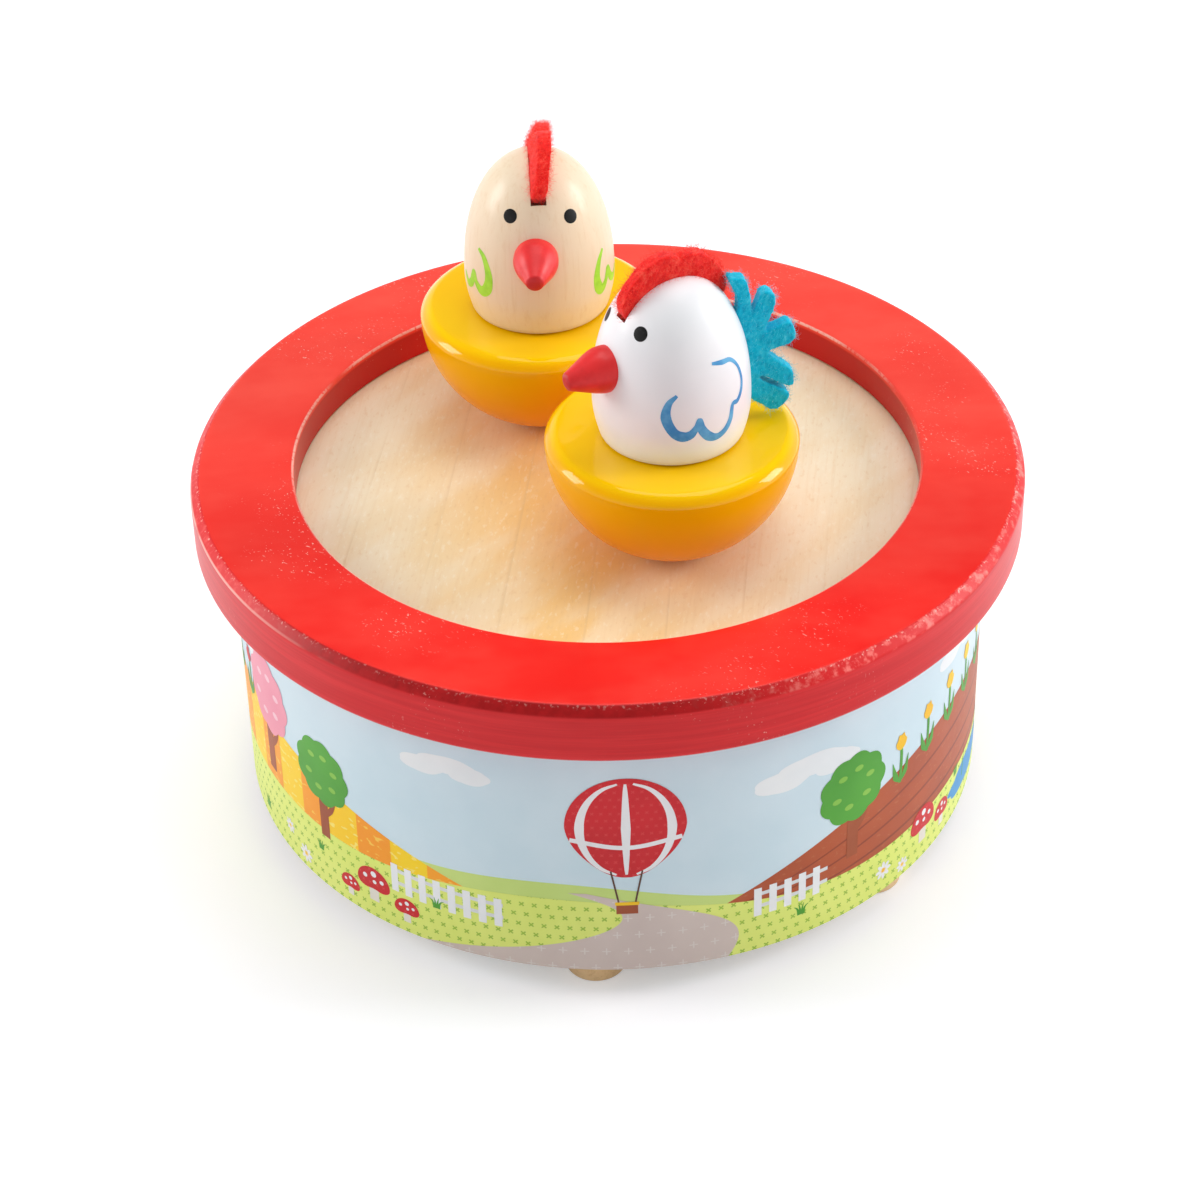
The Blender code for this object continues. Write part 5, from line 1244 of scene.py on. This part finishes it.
def fibres(mesh, count, length, seed, keep=None):
    """Curved hairs: each runs from a point of the felt along its normal, bends sideways and is a tube of 3 sides."""
    random = np.random.default_rng(seed)
    points, facing = points_of(mesh), points_of(mesh, "normal")
    if keep is not None:
        chosen = keep(points, facing)
        points, facing = points[chosen], facing[chosen]
    picked = random.integers(0, len(points), count)
    root, ahead = points[picked] - 0.1 * MM * facing[picked], facing[picked]
    sideways = np.cross(ahead, random.normal(size=(count, 3)))
    sideways /= np.linalg.norm(sideways, axis=1)[:, None]
    reach = random.uniform(0.35, 1, count)[:, None, None] * length
    bend = random.uniform(0.3, 1.5, count)[:, None, None]
    share = np.linspace(0, 1, 6)[None, :, None]
    line = root[:, None] + reach * (ahead[:, None] * np.sin(share * 1.3) * 0.7 + sideways[:, None] * bend * share**1.6)
    curl = np.cross(ahead, sideways)[:, None] * np.sin(share * random.uniform(2, 7, (count, 1, 1)))
    line = line + curl * reach * 0.22 * share
    turn = np.arange(3) * 2 * np.pi / 3
    thin = FIBRE_RADIUS * (1 - 0.6 * share[..., None])
    spread = (np.cos(turn)[:, None] * np.cross(ahead, sideways)[:, None, None]
              + np.sin(turn)[:, None] * sideways[:, None, None])
    tubes = line[:, :, None] + thin * spread
    return join([grid(tube, False, True) for tube in tubes])


def felt_finish(name, deep, plain, pale):
    felt = Finish(name, {"Roughness": 1.0, "Sheen Weight": 0.25, "Sheen Roughness": 0.5, "Specular IOR Level": 0.1})
    wisps = felt.noise(1, 4, 0.7, felt.where((1300, 1300, 420), (0.5, 0.3, 0.2)))
    fluff = felt.noise(340, 3).fade(0.3, 0.75)
    colour = felt.mix(wisps.fade(0.25, 0.55), deep, plain)
    colour = felt.mix(fluff * wisps.fade(0.45, 0.75) * 0.7, colour, pale)
    felt.set({"Base Color": colour})
    felt.bump(wisps + fluff * 0.5 + felt.noise(1800, 2) * 0.4, 0.07 * MM, 0.7)
    return felt


print("felt helpers ready")

# %% Combs and tails
RED_FELT = felt_finish("red_felt", srgb(222, 16, 20), srgb(250, 40, 36), srgb(255, 130, 104))
GREEN_FELT = felt_finish("green_felt", srgb(132, 186, 26), srgb(166, 222, 46), srgb(208, 242, 110))
TURQUOISE_FELT = felt_finish("turquoise_felt", srgb(0, 158, 200), srgb(0, 192, 224), srgb(96, 226, 242))
# Painted highlight: the loose fibres take paler copies of the felt colours, for the bright fringe they show in the
# light.
RED_FUZZ = felt_finish("red_fuzz", srgb(246, 38, 32), srgb(255, 72, 56), srgb(255, 140, 116))
GREEN_FUZZ = felt_finish("green_fuzz", srgb(176, 222, 80), srgb(200, 236, 110), srgb(222, 246, 150))
TURQUOISE_FUZZ = felt_finish("turquoise_fuzz", srgb(10, 190, 222), srgb(60, 208, 232), srgb(170, 238, 246))
COMB_FIBRES = 2600
TAIL_FIBRES = 2200


def comb_outline(start):
    along, up = np.array(COMB_SHARES).T
    upper = smooth_line(crest(start + (COMB_END - start) * along, COMB_RISE * up), 6)
    turns = np.linspace(COMB_END, start, 24)
    return np.vstack([upper, crest(turns, -FELT_DEPTH)])


def tail_outline(tail_height):
    out, up = np.array(TAIL_SHARES).T
    height = up * tail_height
    edge = smooth_line(np.stack([-(egg_side(height) + out * TAIL_REACH), height], -1), 5)
    height = np.linspace(TAIL_ROOTS[1], TAIL_ROOTS[0], 16) * tail_height
    return np.vstack([edge, np.stack([FELT_DEPTH - egg_side(height), height], -1)])


for seed, (dancer, tail_finish, fuzz, tail_slot, lean) in enumerate((
        (hen, GREEN_FELT, GREEN_FUZZ, "green_felt", 1.9 * MM),
        (rooster, TURQUOISE_FELT, TURQUOISE_FUZZ, "turquoise_felt", 0.0))):
    name = dancer.name
    comb = felt_mesh("comb", comb_outline(COMB_START[name]), dancer, dancer.crown_turn, 10 * seed, lean)
    tail_height = highest(f"{name}_tail_felt").z - dancer.base
    tail = felt_mesh("tail", tail_outline(tail_height), dancer, dancer.tail_turn, 10 * seed + 5)
    hairs = mesh_from("hairs", *fibres(comb, COMB_FIBRES, 1.8 * MM, seed))
    show(f"{name}_comb_hairs", hairs, RED_FUZZ, name)
    hairs = mesh_from("hairs", *fibres(tail, TAIL_FIBRES, 1.6 * MM, seed + 50))
    show(f"{name}_tail_hairs", hairs, fuzz, name)
    show(f"{name}_comb", comb, RED_FELT, name, [f"{name}_comb_felt"])
    show(f"{name}_tail", tail, tail_finish, name, [f"{name}_tail_felt"])

# %% [markdown]
# ## Eyes and brushed wings
# Eyes and wings are painted on by hand. An eye is a thick round drop, and a wing is one brush line that swells on its
# downward strokes. Both are patches worked out on a flat plane and laid on the egg's surface.

# %% Painted eyes and wings
EYES = {"hen": {"left": (35, 24.6), "right": (-24.8, 25.2)}, "rooster": {"left": (31, 26.4), "right": (-28, 25)}}
EYE_RADIUS = 1.42 * MM
ROOSTER_WING = ((-87.4, 16.1), (-93.5, 14.4), (-95.5, 11.6), (-90.6, 8.6), (-84, 7.4), (-77.8, 7.7), (-73.5, 9.2),
                (-71.2, 10.5), (-69.5, 8.4), (-64.1, 6.5), (-57.5, 5.8), (-50.5, 6.5), (-45, 8.4), (-42.2, 11.2),
                (-36.5, 11.3), (-31, 12.8), (-28.8, 15.2), (-31.5, 18.0), (-38.5, 20.0), (-47.5, 20.4), (-57.5, 20.9))
ROOSTER_BRUSH = (0.35, 0.7, 1.1, 1.05, 1.2, 1.0, 0.6, 0.55, 0.95, 1.05, 0.85, 0.75, 0.65, 0.5, 0.55, 0.5, 0.45, 0.4,
                 0.45, 0.55, 0.3)
HEN_WINGS = (((-144.5, 16.9), (-137, 15.6), (-131.4, 12.4), (-132.6, 9.4), (-138.8, 8.1), (-146, 9.4), (-149, 11.4),
              (-152.5, 8.6), (-159, 7.6), (-166, 9.4)),
             ((-29.4, 15.6), (-36, 13.6), (-39.9, 10.6), (-38.6, 8.2), (-34.5, 7.2), (-28.5, 8.4), (-24.6, 10.8),
              (-20.5, 8.3), (-13, 7.2), (-5, 8.8)))
HEN_BRUSH = (0.35, 0.7, 1.0, 1.3, 1.2, 0.75, 0.55, 0.95, 0.9, 0.45)
BRUSH_WIDTH = 1.85


def eye_grid(turn_degrees, height):
    """A low dome: a disc in the plane that touches the egg, pushed on to the egg and raised towards its middle."""
    height *= MM
    step = 0.05 * MM
    slope = (egg_side(np.array(height + step)) - egg_side(np.array(height - step))) / (2 * step)
    share = np.linspace(1, 0, 9)[:, None]
    turn = np.linspace(0, 2 * np.pi, 40, endpoint=False)
    across = share * EYE_RADIUS * np.cos(turn)
    up = share * EYE_RADIUS * np.sin(turn) / math.sqrt(1 + float(slope) ** 2)
    radius = egg_side(height + up)
    bulge = PAINT_LIFT + 0.05 * MM * np.sqrt(1 - share**2) * np.ones_like(turn)
    return grid(on_egg(math.radians(turn_degrees) + across / radius, height + up, bulge), False, True)


def brush_grid(points, widths):
    """A brush line given as angles in degrees and heights in millimetres, laid on the egg."""
    line = np.array(points, float)
    wide = np.array(widths) * BRUSH_WIDTH
    flat = stroke(np.stack([np.radians(line[:, 0]) * EGG_RADIUS / MM, line[:, 1]], -1), wide, 10) * MM
    thick = PAINT_LIFT + 0.03 * MM * np.array([0, 1, 0])[:, None]
    return grid(on_egg(flat[..., 0] / EGG_RADIUS, flat[..., 1], thick), places=flat)


def set_on(dancer, made):
    points, faces, places = made
    return dancer.stand(points), faces, places


def eye_paint():
    black = Finish("eye_paint", {"Specular IOR Level": 0.3})
    pale_marks = black.noise(1100, 3).fade(0.55, 0.8)
    black.set({"Base Color": black.mix(pale_marks * 0.3, srgb(12, 12, 13), srgb(60, 60, 62)), "Roughness": 0.4 + 0.3 * pale_marks})
    black.bump(black.noise(900, 3), 0.05 * MM, 0.5)
    return black


def brush_paint(name, deep, thin):
    """Thin brushed colour: streaks along the stroke, deeper where the paint pooled."""
    paint = Finish(name)
    pooled = paint.noise(240, 3, 0.6).fade(0.32, 0.68)
    paint.set({"Base Color": paint.mix(pooled, deep, thin), "Roughness": 0.45 + 0.15 * pooled})
    paint.bump(paint.noise(900, 3), 0.03 * MM, 0.4)
    return paint


EYE_PAINT = eye_paint()
BLUE_PAINT = brush_paint("blue_brush", srgb(38, 136, 202), srgb(100, 180, 226))
GREEN_PAINT = brush_paint("green_brush", srgb(146, 212, 26), srgb(178, 232, 62))
for dancer, slot in ((hen, "clear_wood"), (rooster, "white_lacquer")):
    for label, place in EYES[dancer.name].items():
        mesh = mesh_from("eye", *set_on(dancer, eye_grid(*place)))
        show(f"{dancer.name}_eye_{label}", mesh, EYE_PAINT, dancer.name)


def from_heading(dancer, points):
    """Angles seen from the front of the stage, as angles from where the chicken looks."""
    return [(turn - math.degrees(dancer.heading), height) for turn, height in points]


wings = [("rooster_wing_near", rooster, from_heading(rooster, ROOSTER_WING), ROOSTER_BRUSH, BLUE_PAINT),
         ("rooster_wing_far", rooster, [(-turn, height) for turn, height in from_heading(rooster, ROOSTER_WING)],
          ROOSTER_BRUSH, BLUE_PAINT)]
for points, label in zip(HEN_WINGS, ("right", "left")):
    wings.append((f"hen_wing_{label}", hen, from_heading(hen, points), HEN_BRUSH, GREEN_PAINT))
for name, dancer, points, widths, finish in wings:
    mesh = mesh_from(name, *set_on(dancer, brush_grid(points, widths)))
    show(name, mesh, finish, dancer.name)

# %% [markdown]
# ## Inside and underneath
# The movement, the board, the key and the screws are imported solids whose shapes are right, so they stay and only get
# finishes: brushed brass and steel, sand-cast zinc, dark ferrite magnets, nylon and raw wood.

# %% Finishes of the carried pieces


def metal(name, colour, shade, roughness, scale=320, stretch=(1, 1, 14), depth=0.02 * MM):
    """Worked metal: fine lines from the tool and a cloudy film of oil."""
    finish = Finish(name, {"Metallic": 1.0})
    lines = finish.noise(1, 3, 0.6, finish.where(tuple(scale * s for s in stretch)))
    overlay = finish.noise(140, 3).fade(0.35, 0.7)
    finish.set({"Base Color": finish.mix(overlay, colour, shade), "Roughness": roughness + 0.18 * lines})
    finish.bump(lines, depth, 0.4)
    return finish


def moulded(name, colour, shade, roughness, scale=700):
    finish = Finish(name)
    speckle = finish.noise(scale, 4, 0.6).fade(0.35, 0.7)
    finish.set({"Base Color": finish.mix(speckle, colour, shade), "Roughness": roughness + 0.15 * speckle})
    finish.bump(speckle, 0.03 * MM, 0.5)
    return finish


CARRIED = {
    "brass": metal("brass", srgb(222, 188, 110), srgb(200, 164, 88), 0.24),
    "steel": metal("steel", srgb(196, 197, 200), srgb(172, 174, 178), 0.26),
    "zinc": moulded("zinc", srgb(150, 151, 154), srgb(128, 129, 132), 0.42, 900),
    "magnet": moulded("magnet", srgb(52, 52, 55), srgb(38, 38, 41), 0.5),
    "nylon": moulded("nylon", srgb(232, 231, 220), srgb(222, 220, 206), 0.4, 260),
    "raw_wood": wood("raw_wood", (srgb(222, 190, 146), srgb(208, 170, 122), srgb(172, 130, 86)), 40, 1200,
                     depth=0.05 * MM),
    "pale_wood": wood("base_wood", (srgb(238, 218, 184), srgb(224, 196, 154), srgb(190, 152, 108)), 34, 1300),
}
CARRIED["zinc"].set({"Metallic": 0.85})
slots = {part["node"]: part["material_slot"] for part in frame["record"]["subparts"]}
for name, node in nodes.items():
    finish = CARRIED.get(slots[name], CARRIED["raw_wood"])
    node.data.materials.clear()
    node.data.materials.append(finish.material)
print({slot: sum(1 for v in slots.values() if v == slot) for slot in sorted(set(slots.values()))})

# %% [markdown]
# ## Studio
# The photograph has a white table and large soft lamps. The floor is a pale plane that keeps the object's shadow and
# is lifted to white for the camera only, so no extra light falls on the toy.

# %% Floor, world and lamps
FLOOR_SIZE = 6.0
FLOOR_LIFT = 0.34
FAR_LIFT = 0.8
FLOOR_NEAR = 0.35
FLOOR_FAR = 0.8
WORLD_LIGHT = 0.54
CEILING = 0.12
LAMPS = {
    "top": ((0.1, 0.25, 1.2), (0.9, 0.7), 4.9),
    "left": ((-0.95, 0.12, 0.46), (0.35, 0.45), 4.4),
    "right": ((0.95, 0.08, 0.46), (0.35, 0.45), 5.4),
}


def light_path(finish, ray):
    return finish.node("ShaderNodeLightPath", output=ray)


def studio_floor():
    """Pale and dull. For rays that see or mirror it, it is lifted to white, less near the toy, where shadows lie."""
    floor = Finish("floor", {"Roughness": 0.9, "Specular IOR Level": 0.0, "Emission Strength": 1.0})
    x, y, _ = floor.place()
    far = ((x * x + y * y) ** 0.5).fade(FLOOR_NEAR, FLOOR_FAR)
    seen = light_path(floor, "Is Camera Ray")
    for ray in ("Is Glossy Ray", "Is Transmission Ray"):
        seen = seen.math("MAXIMUM", light_path(floor, ray))
    floor.set({"Base Color": floor.mix(floor.noise(6, 2), srgb(232, 232, 233), srgb(230, 230, 232)),
               "Emission Color": floor.mix(seen * (FLOOR_LIFT + far * (FAR_LIFT - FLOOR_LIFT)), (0, 0, 0, 1),
                                           (0.9, 0.95, 1, 1))})
    return floor


half = FLOOR_SIZE / 2
steps = np.linspace(-half, half, 9)
flat = np.stack([*np.meshgrid(steps, steps), np.full((9, 9), -0.05 * MM)], -1)
floor = bpy.data.objects.new("floor", mesh_from("floor", *grid(flat)))
floor.data.materials.append(studio_floor().material)
bpy.context.scene.collection.objects.link(floor)

world = bpy.data.worlds.new("studio")
world.use_nodes = True
bpy.context.scene.world = world
air = Finish.__new__(Finish)
air.tree = world.node_tree
backdrop = air.tree.nodes["Background"]
upward = air.node("ShaderNodeSeparateXYZ", None, {0: air.node("ShaderNodeTexCoord", output="Generated")}, 2)
mirrored = 1 - upward.fade(0.12, 0.62) * (1 - CEILING)
seen = light_path(air, "Is Camera Ray")
glossy = light_path(air, "Is Glossy Ray").math("MAXIMUM", light_path(air, "Is Transmission Ray")) * (1 - seen)
air.feed(backdrop.inputs["Color"], (1, 1, 1, 1))
air.feed(backdrop.inputs["Strength"], seen + glossy * mirrored + (1 - seen) * (1 - glossy) * WORLD_LIGHT)

for name, (place, size, power) in LAMPS.items():
    light = bpy.data.lights.new(name, "AREA")
    light.shape = "RECTANGLE"
    light.size, light.size_y = size
    light.energy = power
    lamp = bpy.data.objects.new(name, light)
    lamp.location = place
    aim = np.array((0, 0, 70 * MM)) - np.array(place)
    away = -aim / np.linalg.norm(aim)
    level_side = np.cross((0, 0, 1), away)
    level_side /= np.linalg.norm(level_side)
    matrix = np.eye(4)
    matrix[:3, 0], matrix[:3, 1], matrix[:3, 2], matrix[:3, 3] = level_side, np.cross(away, level_side), away, place
    lamp.matrix_world = Matrix(matrix.tolist())
    bpy.context.scene.collection.objects.link(lamp)

view = bpy.context.scene.view_settings
view.view_transform = "Standard"
print("lamps:", ", ".join(LAMPS))
